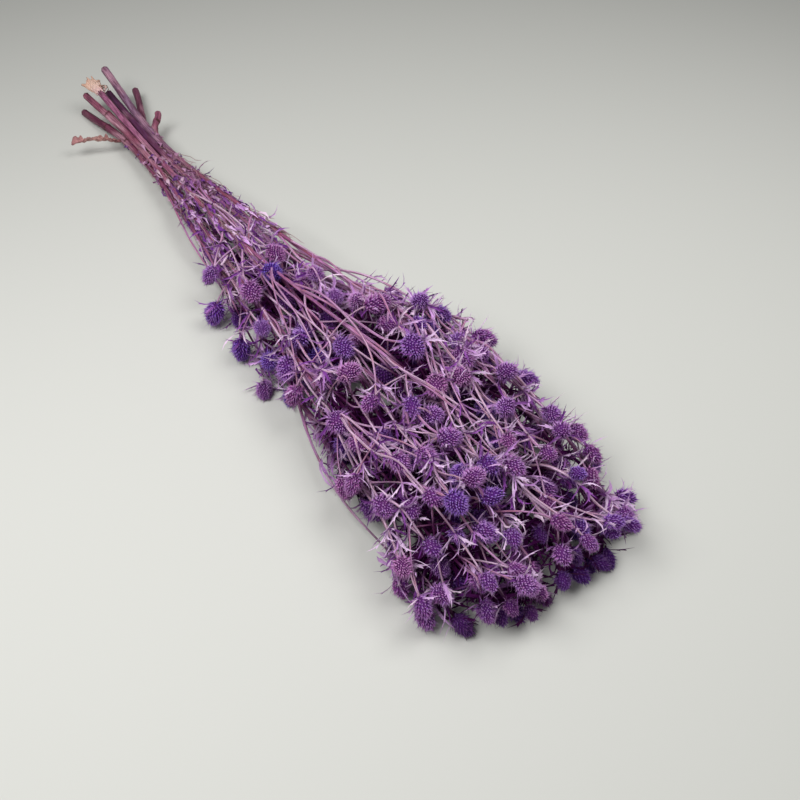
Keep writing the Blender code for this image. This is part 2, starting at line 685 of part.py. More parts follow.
def build_bunch():
    for entry in list(bpy.data.objects):
        bpy.data.objects.remove(entry, do_unlink=True)
    frame = bpy.data.objects.new("bunch", None)
    frame.location = [-value for value in BOX_CENTRE]
    bpy.context.scene.collection.objects.link(frame)
    growth_materials = [
        material("mauve_stem", (0.30, 0.10, 0.21), 0.6),
        material("violet_head", (0.23, 0.09, 0.36), 0.85),
        material("lilac_bract", (0.48, 0.26, 0.48), 0.7),
    ]
    slab = table_slab()
    bpy.context.view_layer.update()
    stems, forks, heads, leaves = grow()
    print(f"{len(forks)} forks, {len(heads)} heads, {len(leaves)} leaves")
    nodes = []
    for i, (line, (_, radius)) in enumerate(zip(stems, STEMS, strict=True)):
        solids = stem_solids(i, line, radius, forks, heads, leaves)
        nodes.append(fuse(f"stem_{i + 1}", solids, growth_materials, slab))
    bpy.data.objects.remove(slab, do_unlink=True)
    tan = material("tan_dead_leaf", (0.55, 0.34, 0.22), 0.85)
    brown = material("brown_dead_leaf", (0.33, 0.12, 0.08), 0.85)
    nodes.append(mesh_object("withered_leaf_tan", tan_leaf(stems[2], STEMS[2][1]), [tan]))
    nodes.append(mesh_object("withered_leaf_brown", brown_leaf(stems[4], stem_radii(STEMS[4][1])), [brown]))
    for node in nodes:
        if node.name not in bpy.context.scene.collection.objects:
            bpy.context.scene.collection.objects.link(node)
        node.parent = frame
    bpy.context.view_layer.update()


if __name__ == "__main__":
    build_bunch()
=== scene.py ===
# %% [markdown]
# # A bunch of preserved sea holly
#
# Sea holly is a thistle-like herb. It was cut in flower, dried, and dyed violet and mauve, and the bunch
# lies loose on a table. Nine stems, bare at their cut ends, branch over and over. Every twig ends in an
# egg-shaped head of tiny florets on a collar of spiny bracts, and a whorl of spiny leaves stands at each
# fork.
#
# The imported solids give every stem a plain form. This file grows the same plants again from the same numbers
# and the same seed, and then dresses them: a skin of fine wood, thousands of florets, toothed bracts and
# crumpled leaves.

# %% Load the frame
import math

import bpy
import numpy as np
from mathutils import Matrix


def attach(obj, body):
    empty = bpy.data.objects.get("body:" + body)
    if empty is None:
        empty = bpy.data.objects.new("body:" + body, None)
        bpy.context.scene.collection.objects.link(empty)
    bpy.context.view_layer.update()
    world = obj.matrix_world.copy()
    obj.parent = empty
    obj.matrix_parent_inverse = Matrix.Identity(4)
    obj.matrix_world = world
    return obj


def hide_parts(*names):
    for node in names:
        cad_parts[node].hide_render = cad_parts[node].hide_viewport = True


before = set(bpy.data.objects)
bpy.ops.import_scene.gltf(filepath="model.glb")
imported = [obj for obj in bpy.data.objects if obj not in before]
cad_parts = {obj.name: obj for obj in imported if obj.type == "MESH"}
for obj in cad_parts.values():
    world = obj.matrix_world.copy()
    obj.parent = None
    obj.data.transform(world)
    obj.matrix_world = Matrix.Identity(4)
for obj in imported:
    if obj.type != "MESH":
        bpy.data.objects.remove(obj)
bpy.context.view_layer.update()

# %% [markdown]
# ## Where everything grows
#
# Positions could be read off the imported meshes, but a mesh doesn't say what is a stalk and what is a bract.
# Growing the bunch anew, in the order in which the solids were grown, gives lines, axes and tips with their
# meaning kept. All lengths are in metres, in the frame where the bunch grew, and BOX_CENTRE carries it to the
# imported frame. The stems come first, because all else grows from them.

# %% The numbers that the bunch grows from
BOX_CENTRE = (0.3422, -0.0004, 0.0)  # the middle of the bunch's box, in the frame that it grows in
FORK_RADIUS = 0.0016
STALK_RADIUS = 0.0009
CLEARANCE = 0.0004  # kept between the growth of two stems
PRESSED = 0.0008  # how much of the lowest heads and cut ends the table has pressed flat
SEED = 7  # each kind of dressing adds an offset of its own, so that one can change without the others

# Each stem: its cut end, its place at the waist, its middle and its last fork; then its radius at the cut
STEMS = (
    (((0.022, -0.004, 0.0262), (0.15, -0.0062, 0.0172), (0.33, 0.004, 0.04), (0.5, 0.028, 0.054)), 0.0031),
    (((0.041, -0.011, 0.0132), (0.15, -0.012, 0.0172), (0.33, -0.011, 0.03), (0.535, -0.022, 0.042)), 0.0029),
    (((0.052, -0.023, 0.027), (0.15, -0.0178, 0.0172), (0.33, -0.022, 0.041), (0.52, -0.005, 0.06)), 0.0025),
    (((0.038, -0.031, 0.016), (0.15, -0.0236, 0.0172), (0.33, -0.033, 0.028), (0.51, -0.047, 0.038)), 0.0028),
    (((0.04, -0.0375, 0.0022), (0.15, -0.0266, 0.0121), (0.33, -0.037, 0.013), (0.53, -0.058, 0.015)), 0.003),
    (((0.062, -0.022, 0.007), (0.15, -0.0208, 0.0121), (0.33, -0.022, 0.014), (0.555, -0.03, 0.016)), 0.0027),
    (((0.078, -0.012, 0.002), (0.15, -0.015, 0.0121), (0.33, -0.007, 0.015), (0.56, 0.006, 0.02)), 0.0028),
    (((0.04, 0.014, 0.008), (0.15, -0.0092, 0.0121), (0.33, 0.004, 0.026), (0.54, 0.036, 0.026)), 0.0028),
    (((0.106, 0.0105, 0.0175), (0.15, -0.0034, 0.0121), (0.35, 0.014, 0.016), (0.5, 0.054, 0.034)), 0.0026),
)

# %% [markdown]
# ### Curves and directions
#
# A stem is a smooth curve through four knots. All other growth needs only a few small helpers: a unit
# vector, two vectors square to a direction, and a direction that leans off another one.

# %% Curves and directions
STEM_TIP_RADIUS = 0.0016
STEM_RINGS = 10
FULL_TURN = 2 * math.pi
ROUGH_TURN = 6.28  # enough where only the start of a pattern is drawn


def evenly_round(count):
    """So many angles, evenly spread over a full turn."""
    return np.arange(count) * FULL_TURN / count


def unit(v):
    """A vector over its own length."""
    return v / np.linalg.norm(v)


def spline(knots, count):
    """As many points as asked for, on cubic arcs through the knots, each with the slope of its neighbours."""
    knots = np.array(knots, float)
    t = np.linspace(0, len(knots) - 1, count)
    i = np.minimum(t.astype(int), len(knots) - 2)
    slopes = np.gradient(knots, axis=0)
    s = (t - i)[:, None]
    return (
        (2 * s**3 - 3 * s**2 + 1) * knots[i]
        + (s**3 - 2 * s**2 + s) * slopes[i]
        + (3 * s**2 - 2 * s**3) * knots[i + 1]
        + (s**3 - s**2) * slopes[i + 1]
    )


def square_to(direction):
    """Two unit vectors square to a direction and to each other; the first is level unless it points up."""
    pole = np.array([0.0, 0.0, 1.0]) if abs(direction[2]) < 0.9 else np.array([1.0, 0.0, 0.0])
    u = unit(np.cross(pole, direction))
    return u, np.cross(direction, u)


def leaning(axis, tilt, turn):
    """A unit vector tilted off an axis, towards the side that the turn gives."""
    u, v = square_to(axis)
    return math.cos(tilt) * axis + math.sin(tilt) * (math.cos(turn) * u + math.sin(turn) * v)


def around(u, v, angle):
    """What u becomes when it is turned towards v by an angle: cos(angle) u + sin(angle) v."""
    return np.cos(angle) * u + np.sin(angle) * v


def stem_radii(radius):
    """Radii along a stem, thinning evenly from its cut end."""
    return np.linspace(radius, STEM_TIP_RADIUS, STEM_RINGS)


# %% [markdown]
# ### A thicket that keeps clear of itself
#
# Stems in a bunch press past one another and never pass through. Each new twig is tried in many ways, as
# round-ended rods, and the gap to all that has grown so far is measured before it stays.

# %% The thicket
STRAND, HEAD, BRACT = range(3)  # kinds of growth


def distances(a, b, p, q):
    """The least distances from the segment ab to each of the segments pq."""
    d, e, w = b - a, q - p, a - p
    dd, ee = max(d @ d, 1e-12), np.maximum((e * e).sum(1), 1e-12)
    de, dw, ew = e @ d, w @ d, (e * w).sum(1)
    s = np.clip((de * ew - dw * ee) / np.maximum(dd * ee - de * de, 1e-14), 0, 1)
    for _ in range(3):
        t = np.clip((de * s + ew) / ee, 0, 1)
        s = np.clip((de * t - dw) / dd, 0, 1)
    return np.linalg.norm(w + s[:, None] * d - t[:, None] * e, axis=1)


class Thicket:
    """All that has grown so far, as round-ended rods, so that what grows next can keep clear of it."""

    def __init__(self):
        self.starts, self.ends = np.zeros((0, 3)), np.zeros((0, 3))
        self.radii = np.zeros(0)
        self.stems, self.kinds = np.zeros(0, int), np.zeros(0, int)

    def add(self, points, radius, stem, kind):
        """Adds a chain of rods of one radius."""
        count = len(points) - 1
        self.starts = np.vstack([self.starts, points[:-1]])
        self.ends = np.vstack([self.ends, points[1:]])
        self.radii = np.append(self.radii, np.full(count, radius))
        self.stems = np.append(self.stems, np.full(count, stem))
        self.kinds = np.append(self.kinds, np.full(count, kind))

    def gap(self, points, radius, chosen):
        """The least gap from a chain of rods to the chosen growth."""
        p, q, r = self.starts[chosen], self.ends[chosen], self.radii[chosen]
        pairs = zip(points[:-1], points[1:], strict=True)
        return min((distances(a, b, p, q) - r).min(initial=1.0) for a, b in pairs) - radius

    def others(self, stem):
        """Picks the growth of the other stems."""
        return self.stems != stem

    def others_or_heads(self, stem):
        """Picks the growth of the other stems, and the heads of all stems."""
        return (self.stems != stem) | (self.kinds == HEAD)

    def own(self, stem):
        """Picks the growth of this stem, which may be touched, but rather isn't."""
        return self.stems == stem


# %% [markdown]
# ### The outline of the bunch
#
# Seen from above the flowering part is a long wedge, and its back is rounded. Its edges and its height are
# given at a few stations along it, and read off in between, so all that grows can be kept inside.

# %% The outline
# The outline of the flowering part seen from above, and the height of its back, at stations along X
STATIONS = (0.300, 0.340, 0.380, 0.430, 0.480, 0.540, 0.600, 0.640, 0.670)
LEFT_EDGE = (-0.042, -0.056, -0.064, -0.061, -0.062, -0.071, -0.077, -0.075, -0.066)
RIGHT_EDGE = (0.010, 0.018, 0.028, 0.050, 0.070, 0.069, 0.075, 0.074, 0.064)
EDGE_FALL, EDGE_ROUND = 0.58, 2.5  # share of the back's height that is lost at the edges, and its power
BACK = (0.030, 0.044, 0.054, 0.062, 0.068, 0.070, 0.066, 0.058, 0.048)
HEADS_FROM, HEADS_TO = 0.330, 0.662  # where the first and the last flower heads lie


def read_off(x, *lines):
    """The value of each line over the stations, at places x along the bunch."""
    return (np.interp(x, STATIONS, line) for line in lines)


def back_height(point):
    """The height of the bunch's rounded back over a point."""
    left, right, top = read_off(point[0], LEFT_EDGE, RIGHT_EDGE, BACK)
    off_middle = np.minimum(abs(2 * point[1] - left - right) / (right - left), 1.0)
    return top * (1 - EDGE_FALL * off_middle**EDGE_ROUND)


def depth_inside(point, margin):
    """How far a ball round the point stays within the outline, under the back and above the table."""
    left, right = read_off(point[0], LEFT_EDGE, RIGHT_EDGE)
    walls = (
        point[1] - left,
        right - point[1],
        back_height(point) - point[2],
        point[2] + PRESSED,
        HEADS_TO - point[0],
        point[0] - HEADS_FROM,
    )
    return min(walls) - margin


# %% [markdown]
# ### Forks
#
# A fork is where stalks part, so the forks' places decide where the heads are. Those in full view are listed,
# and the others follow an even sequence, which leaves neither gaps nor clumps as a plain random draw would.

# %% The forks
FORKS_FROM, FORKS_TO = 0.305, 0.628
SIDE_FORKS = 70  # side branches, each ending in a fork with three heads
FORK_HEIGHT, UNDER_BACK, BESIDE_EDGES = 0.009, 0.008, 0.020  # where the scattered forks keep to
SCATTER = (0.8191725134, 0.6710436067, 0.5497004779)  # steps of an even three-way sequence
TOWARDS_TIPS, TOWARDS_EDGES, TOWARDS_BACK = 0.85, 0.80, 0.65  # below 1 the scatter is denser there

# Forks that lie in full view on the back and the edges of the bunch
SHOWN_FORKS = (
    (0.517, -0.005, 0.060), (0.574, -0.002, 0.058), (0.556, -0.052, 0.044), (0.592, 0.027, 0.054),
    (0.590, -0.058, 0.036), (0.612, -0.012, 0.046), (0.489, 0.060, 0.040), (0.551, 0.057, 0.038),
    (0.375, -0.010, 0.044), (0.618, 0.052, 0.010), (0.606, -0.062, 0.009), (0.440, 0.034, 0.009),
    (0.410, -0.050, 0.008), (0.628, -0.036, 0.022), (0.440, -0.020, 0.052), (0.455, 0.022, 0.052),
    (0.400, -0.046, 0.034), (0.628, 0.018, 0.036), (0.634, 0.012, 0.010), (0.632, 0.046, 0.026),
    (0.634, -0.016, 0.010), (0.620, -0.046, 0.036), (0.585, -0.066, 0.014), (0.600, -0.050, 0.034),
    (0.492, -0.054, 0.020),
)
KNEE = 0.40  # share of its span for which a branch keeps to its stem's direction


def fork_places():
    """The shown forks, then an even scatter, slightly denser towards the tips, edges and back."""
    places = [np.array(place) for place in SHOWN_FORKS]
    for index in range(SIDE_FORKS - len(SHOWN_FORKS)):
        along, aside, up = ((0.5 + step * (index + 1)) % 1.0 for step in SCATTER)
        x = FORKS_FROM + (FORKS_TO - FORKS_FROM) * along**TOWARDS_TIPS
        left, right = read_off(x, LEFT_EDGE, RIGHT_EDGE)
        off_middle = 2 * aside - 1
        aside = math.copysign(abs(off_middle) ** TOWARDS_EDGES, off_middle)
        y = (left + right) / 2 + (right - left - BESIDE_EDGES) / 2 * aside
        place = np.array([x, y, FORK_HEIGHT])
        place[2] += (back_height(place) - UNDER_BACK - FORK_HEIGHT) * up**TOWARDS_BACK
        places.append(place)
    return places


def branch_route(start, slope, end, bow):
    """Four points of a quadratic arc that leaves a stem along its slope and ends at a fork."""
    span = np.linalg.norm(end - start)
    knee = start + (slope * KNEE + bow) * span
    t = np.linspace(0, 1, 4)[:, None]
    return (1 - t) ** 2 * start + 2 * t * (1 - t) * knee + t**2 * end


def part_way(points, share):
    """The same chain without the given share of its first rod."""
    return np.vstack([points[0] * (1 - share) + points[1] * share, points[1:]])


# %% [markdown]
# ### Side branches
#
# A branch leaves its stem at a slant and bows on its way to its fork. For each fork many routes are drawn at
# random, and the one that keeps clear of the other stems and swerves least is kept. A fixed seed makes the
# draws the same each time.

# %% Side branches
BRANCH_REACH = (0.070, 0.135)  # how far behind its fork a side branch leaves its stem
BRANCH_BOW = 0.045  # spread of a branch's bow, as a share of its span
SHORTEST_BRANCH, LOWEST_BRANCH = 0.028, 0.0035
FORK_SHIFT, DIRECT_ATTEMPTS = 0.0035, 12  # a fork moves off its place only after so many routes have failed
BRANCH_TRIES = 90
FIRST_RING = 4  # no side branch leaves a stem before this ring
BOW_SHARES = np.array([0.3, 1.0, 1.0])  # a branch bows less along the bunch than across it
NEAR_ROOT = 0.4  # share of a first rod that may touch its own stem
CLASH, TOUCH, LADEN = 1000, 100, 0.25  # what it costs a route to meet another stem, its own, or a laden one


def best_route(thicket, stems, load, place, rng):
    """The best of many routes to a fork's place, as (score, stem, route, gap to the other stems), or None."""
    best = None
    for attempt in range(BRANCH_TRIES):
        stem = int(rng.integers(len(stems)))
        line = stems[stem]
        k = int(np.argmin(abs(line[:, 0] - (place[0] - rng.uniform(*BRANCH_REACH)))))
        k = min(max(k, FIRST_RING), len(line) - 2)
        end = place + rng.normal(0, FORK_SHIFT, 3) * (attempt > DIRECT_ATTEMPTS)
        bow = rng.normal(0, BRANCH_BOW, 3) * BOW_SHARES
        route = branch_route(line[k], unit(line[k + 1] - line[k]), end, bow)
        if end[0] - line[k][0] < SHORTEST_BRANCH or route[:, 2].min() < LOWEST_BRANCH:
            continue
        gap = thicket.gap(route, FORK_RADIUS, thicket.others(stem))
        own_gap = thicket.gap(part_way(route[1:], NEAR_ROOT), FORK_RADIUS, thicket.own(stem))
        swerve = np.linalg.norm(end[1:] - line[k][1:]) / (end[0] - line[k][0])
        clash, touch = min(gap - CLEARANCE, 0.0), min(own_gap, 0.0)
        score = CLASH * clash + TOUCH * touch - swerve - LADEN * load[stem]
        if best is None or score > best[0]:
            best = (score, stem, route, gap)
    return best


def grow_branches(thicket, stems, rng):
    """Routes to all forks: the stems' own last ones, then side branches clear of the other stems."""
    forks = [{"stem": i, "route": stem[-2:], "side": False} for i, stem in enumerate(stems)]
    load = np.zeros(len(stems))
    for place in fork_places():
        best = best_route(thicket, stems, load, place, rng)
        if best is None or best[3] < CLEARANCE:
            continue
        _, stem, route, _ = best
        load[stem] += 1
        thicket.add(route, FORK_RADIUS, stem, STRAND)
        forks.append({"stem": stem, "route": route, "side": True})
    return forks


# %% [markdown]
# ### Stalks and heads
#
# Three stalks leave each fork, and each carries one head. A stalk's length and tilt are drawn anew until its
# head finds room, a little looser each time, and a head close to the table sags onto it.

# %% Stalks and heads
HEAD_LENGTH = (0.0120, 0.0175)
HEAD_SLIMNESS = (0.76, 0.90)  # width over length
YOUNG_FROM, YOUNG_TO, YOUNG_SIZE = 0.48, 0.63, 0.72  # heads are younger, and so smaller, towards the tips
MIDDLE_STALK, SIDE_STALK = (0.0080, 0.0200), (0.0180, 0.0380)  # their lengths
STALK_SETBACKS = (0.0, 0.0004, 0.0028)  # how far before a fork the middle stalk and the two side ones leave
NEAR_TABLE = 0.0045  # heads this near to the table sag onto it
FARTHEST_OUT, DEEPEST_UNDER = 0.009, 0.012  # a head past the outline, or under the table, by more is dropped
OUTER_SIDES, INNER_SIDES = 4, 3  # sides of a head and its stalk, in view and deep inside the bunch
SMALL_WIDTH = 0.0092  # heads slimmer than this have fewer sides
DEEP_INSIDE = 0.016
HEAD_TRIES = 160
LOOSENING = 45  # after so many tries a stalk may stray twice as far as at first
MIDDLE_TILT, SIDE_TILT = (0, 10), (20, 42)  # of a fork's stalks off its branch, in degrees
LARGEST_TILT = 1.5  # in radians
STALK_TURN = 2.1  # from one stalk of a fork to the next, in radians
FLOWERWARDS = np.array([0.3, 0.0, 0.0])  # all growth turns a little towards the flower end
NODDING = np.array([0.3, 0.0, -0.1])  # heads do so too, and nod
ROD_INSET = 0.8  # how far the rod in a head stops short of its ends, as a share of the head's half width
END_RISE = 0.4  # how much more than its middle a head's end clears the table, as such a share


def stalk_and_head(fork, place, first_turn, length, bulk, loose, rng):
    """One try at a stalk and its head: the stalk's rod, the head's axis and rod, and its middle.

    A head that would end near the table or in it is lowered or raised until it lies on it.
    """
    node = fork["route"][-1]
    back = unit(fork["route"][-2] - node)
    stalk = rng.uniform(*(SIDE_STALK if place else MIDDLE_STALK)) * (0.9 + 0.1 * loose)
    tilt = math.radians(rng.uniform(*(SIDE_TILT if place else MIDDLE_TILT))) * loose
    turn = first_turn + STALK_TURN * place + rng.normal(0, 0.25) * loose
    way = leaning(unit(FLOWERWARDS - back), min(tilt, LARGEST_TILT), turn)
    root = node + STALK_SETBACKS[place] * back
    neck = root + way * stalk
    axis = unit(way + NODDING + rng.normal(0, 0.15, 3))
    crown = neck + axis * length
    lowest = min(neck[2], crown[2]) + bulk * END_RISE - bulk + PRESSED
    if -DEEPEST_UNDER < lowest < NEAR_TABLE:
        neck, crown = neck - [0, 0, lowest], crown - [0, 0, lowest]
    core = np.array([neck + axis * bulk * ROD_INSET, crown - axis * bulk * ROD_INSET])
    return np.array([root, neck]), axis, core, (neck + crown) / 2


def head_gap(thicket, chosen, rod, core, bulk):
    """The least gap from a stalk and its head to the chosen growth."""
    return min(thicket.gap(core, bulk, chosen), thicket.gap(rod, STALK_RADIUS, chosen))


def best_head(thicket, fork, place, first_turn, length, bulk, rng):
    """The best of many tries at a stalk and its head, as (score, stalk's rod, axis, head's rod), or None."""
    best = None
    for attempt in range(HEAD_TRIES):
        loose = 1 + attempt / LOOSENING
        rod, axis, core, middle = stalk_and_head(fork, place, first_turn, length, bulk, loose, rng)
        outside = min(depth_inside(middle, bulk), 0.0)
        if best is not None and outside <= best[0] or outside < -FARTHEST_OUT:
            continue
        if head_gap(thicket, thicket.others_or_heads(fork["stem"]), rod, core, bulk) < CLEARANCE:
            continue
        own_gap = head_gap(thicket, thicket.own(fork["stem"]), part_way(rod, NEAR_ROOT), core, bulk)
        score = outside + 0.5 * min(own_gap, 0.0)
        if best is None or score > best[0]:
            best = (score, rod, axis, core)
        if score >= 0:
            break
    return best


def grow_heads(thicket, forks, rng):
    """Three stalks from every fork, each with a head at its end, clear of all heads and of other stems.

    The middle stalk runs on from a side branch as one line; the others leave it just before the fork.
    """
    heads = []
    for fork in forks:
        first_turn = rng.uniform(0, FULL_TURN)
        youth = np.interp(fork["route"][-1][0], (YOUNG_FROM, YOUNG_TO), (1.0, YOUNG_SIZE))
        for place in range(len(STALK_SETBACKS)):
            length = rng.uniform(*HEAD_LENGTH) * youth
            width = length * rng.uniform(*HEAD_SLIMNESS)
            bulk = width / 2
            best = best_head(thicket, fork, place, first_turn, length, bulk, rng)
            if best is None:
                continue
            _, rod, axis, core = best
            thicket.add(core, bulk, fork["stem"], HEAD)
            thicket.add(rod, STALK_RADIUS, fork["stem"], STRAND)
            line = rod
            if fork["side"] and place == 0:
                line = np.vstack([fork["route"], rod[1]])
                fork["runs_on"] = True
            deep = depth_inside(core.mean(axis=0), 0.0) > DEEP_INSIDE
            sides = INNER_SIDES if deep or width < SMALL_WIDTH else OUTER_SIDES
            head = {"stem": fork["stem"], "line": line, "neck": rod[1], "axis": axis}
            head |= {"length": length, "width": width, "spin": rng.uniform(0, math.pi), "sides": sides}
            heads.append(head)
    return heads


# %% [markdown]
# ### Bracts and whorls of leaves
#
# While the bunch grows, a bract or a leaf is only a needle from its root to its tip. It is bent or shortened
# until it touches nothing but what bears it, and later its line carries a toothed blade.

# %% Bracts and whorls of leaves
BRACT_LENGTH = (0.0105, 0.0155)
LEAF_LENGTH = (0.0120, 0.0190)
LEAVES_IN_WHORL = 3
NEEDLE_RADIUS = 0.0010
WHORL_SETBACK = 0.0045  # leaves stand this far before their fork
LOWEST_TIP = 0.0012  # above the table
NEEDLE_SHARES, NEEDLE_BENDS = (1.0, 0.8, 0.65, 0.5), (0.20, 0.50, -0.10, 0.80, -0.35)
NEEDLE_ROOT = 0.55  # share of a needle that may touch its own stem
BRACT_RISE, BRACT_OUT = 0.16, 0.20  # where a bract starts, as shares of its head's length and width
LOW_WHORLS = (4, 5)  # the rings after which each stem kept a whorl below its flowers


def free_needle(thicket, stem, root, outward, onward, length):
    """The tip of a needle that is clear of all but its root: straight out, else bent or shorter, or None."""
    for share in NEEDLE_SHARES:
        for bend in NEEDLE_BENDS:
            tip = root + unit(outward + bend * onward) * length * share
            tip[2] = max(tip[2], LOWEST_TIP)
            rod = np.array([root, tip])
            gap = thicket.gap(rod, NEEDLE_RADIUS, thicket.others(stem))
            own_gap = thicket.gap(part_way(rod, NEEDLE_ROOT), NEEDLE_RADIUS, thicket.own(stem))
            if gap > CLEARANCE and own_gap > 0:
                return tip
    return None


def head_spokes(head):
    """Unit vectors square to a head's axis, one for each of its bracts."""
    u, v = square_to(head["axis"])
    turns = head["spin"] + evenly_round(head["sides"])
    return around(u, v, turns[:, None])


def grow_bracts(thicket, heads, rng):
    """A collar of bracts under each head, each a free tip or None."""
    for head in heads:
        head["bracts"] = []
        for outward in head_spokes(head):
            rise = BRACT_RISE * head["length"] * head["axis"]
            root = head["neck"] + rise + BRACT_OUT * head["width"] * outward
            length = rng.uniform(*BRACT_LENGTH)
            tip = free_needle(thicket, head["stem"], root, outward, head["axis"], length)
            if tip is not None:
                thicket.add(np.array([root, tip]), NEEDLE_RADIUS, head["stem"], BRACT)
            head["bracts"].append(tip)


def grow_leaves(thicket, forks, stems, rng):
    """Spiny leaves as needles: a whorl at each fork, and two whorls left on each stem below its flowers."""
    sites = []
    for fork in forks:
        onward = unit(fork["route"][-1] - fork["route"][-2])
        sites.append((fork["stem"], fork["route"][-1] - WHORL_SETBACK * onward, onward))
    for i, line in enumerate(stems):
        for k in LOW_WHORLS:
            share = rng.uniform(0.2, 0.8)
            sites.append((i, line[k] * (1 - share) + line[k + 1] * share, unit(line[k + 1] - line[k])))
    leaves = []
    for stem, root, onward in sites:
        first = rng.uniform(0, FULL_TURN)
        for k in range(LEAVES_IN_WHORL):
            turn = first + k * FULL_TURN / LEAVES_IN_WHORL + rng.normal(0, 0.2)
            outward = leaning(onward, math.pi / 2, turn)
            tip = free_needle(thicket, stem, root, outward, onward, rng.uniform(*LEAF_LENGTH))
            if tip is not None:
                thicket.add(np.array([root, tip]), NEEDLE_RADIUS, stem, BRACT)
                leaves.append({"stem": stem, "root": root, "tip": tip, "onward": onward})
    return leaves, sites


# %% Grow the bunch
def grow():
    """The whole bunch: stems, forks, heads and leaves."""
    rng = np.random.default_rng(SEED)
    thicket = Thicket()
    stems = [spline(knots, STEM_RINGS) for knots, _ in STEMS]
    for i, (line, (_, radius)) in enumerate(zip(stems, STEMS, strict=True)):
        for k, rod_radius in enumerate(stem_radii(radius)[:-1]):
            thicket.add(line[k : k + 2], rod_radius, i, STRAND)
    forks = grow_branches(thicket, stems, rng)
    heads = grow_heads(thicket, forks, rng)
    grow_bracts(thicket, heads, rng)
    leaves, sites = grow_leaves(thicket, forks, stems, rng)
    return stems, forks, heads, leaves, sites


stems, forks, heads, leaves, sites = grow()
print(f"{len(forks)} forks, {len(heads)} heads, {len(leaves)} whorl leaves")

# %% [markdown]
# ## A skin over rings
#
# Nearly everything here is long and thin: a stem, a bract, a floret. All of them can be one formula, a small
# ring of points carried along a path. Many such items of one kind are worked out together, as an array of
# (items, rows, points round the ring), so that numpy does the work and no loop runs over the points.

# %% Array helpers
CENTRE = np.array(BOX_CENTRE)


def of_stem(growth, index):
    """Those of the heads, forks or leaves that grew on one stem."""
    return [item for item in growth if item["stem"] == index]


def rows_to_unit(vectors):
    """Each vector over its own length."""
    return vectors / np.maximum(np.linalg.norm(vectors, axis=-1, keepdims=True), 1e-12)


def nearest_rows(line, x):
    """For each place x along the bunch, the row of the line that lies nearest to it."""
    return np.abs(line[None, :, 0] - x[:, None]).argmin(axis=1)


def square_pairs(directions):
    """Two fields of unit vectors square to each direction.

    The first is the cross product of a pole and the direction, the second of the direction and the first.
    """
    pole = np.where(abs(directions[..., 2:]) < 0.9, [0.0, 0.0, 1.0], [1.0, 0.0, 0.0])
    u = rows_to_unit(np.cross(pole, directions))
    return u, np.cross(directions, u)


def ring_faces(shape, closed_tip=True):
    """Quads between neighbouring rings and a flat face over each end, for (items, rows, sides) points."""
    index = np.arange(np.prod(shape)).reshape(shape)
    beside = np.roll(index, -1, axis=2)
    quads = np.stack([index[:, :-1], beside[:, :-1], beside[:, 1:], index[:, 1:]], axis=-1)
    ends = [index[:, 0, ::-1]] + ([index[:, -1]] if closed_tip else [])
    return [quads.reshape(-1, 4), np.concatenate(ends)]


def apex_faces(shape):
    """Triangles from each item's last ring to its own apex; the apexes follow all the rings."""
    ring = np.arange(np.prod(shape)).reshape(shape)[:, -1]
    apex = np.broadcast_to(np.prod(shape) + np.arange(len(ring))[:, None], ring.shape)
    return [np.stack([ring, np.roll(ring, -1, axis=1), apex], axis=-1).reshape(-1, 3)]


# %% [markdown]
# The inside of the bunch gets less daylight, so colours there are darkened with painted shade. How deep a
# point lies is measured from a tent stretched over the stems and the flower heads: a cone on each, and the
# highest of them at every spot of a fine grid.

# %% The tent over the bunch
# the dark inside is painted shade, and it starts this far along the bunch
DARK_FROM, DARK_BLEND = 0.13, 0.10  # where along the bunch the dark inside starts
TENT_CORNER, TENT_STEP, TENT_SPOTS = np.array([0.10, -0.12]), 0.002, (300, 120)  # the grid under the tent
TENT_SLOPE = 1.3  # how steeply the tent falls away from a head or a stem
TENT_WOOD, TENT_ROWS = 0.0025, 60  # a stem's radius under it, and the points of its line
SHALLOW, DEEP = 0.008, 0.030  # depths under the tent that count as 0 and as 1
EDGE_SHARE, EDGE_BLEND = 0.25, 0.022  # share of the depth that counts at the edge, and how far in all does
head_centres = np.array([head["neck"] + head["axis"] * head["length"] / 2 for head in heads])
head_radii = np.array([head["length"] / 2 for head in heads])
bases = np.vstack([head_centres, *(spline(knots, TENT_ROWS) for knots, _ in STEMS)])
base_radii = np.append(head_radii, np.full(len(bases) - len(heads), TENT_WOOD))
spots = TENT_CORNER + TENT_STEP * np.moveaxis(np.indices(TENT_SPOTS), 0, -1)
off = np.linalg.norm(spots[:, :, None] - bases[:, :2], axis=-1)
tent = (bases[:, 2] + base_radii - TENT_SLOPE * np.maximum(off - base_radii, 0)).max(axis=-1)
print(f"a tent over {tent.size} spots, up to {tent.max() * 1000:.0f} mm high")


def buried_depth(points):
    """How deep under the tent the points lie, from 0 to 1. The bare ends of the stems have no depth."""
    cell = ((points[:, :2] - TENT_CORNER) / TENT_STEP).round().astype(int)
    row, column = np.clip(cell, 0, np.array(TENT_SPOTS) - 1).T
    depth = (tent[row, column] - points[:, 2] - SHALLOW) / (DEEP - SHALLOW)
    left, right = read_off(points[:, 0], LEFT_EDGE, RIGHT_EDGE)
    inside = np.minimum(points[:, 1] - left, right - points[:, 1]) / EDGE_BLEND
    along = (points[:, 0] - DARK_FROM) / DARK_BLEND
    return np.clip(depth, 0, 1) * np.clip(inside, EDGE_SHARE, 1) * np.clip(along, 0, 1)


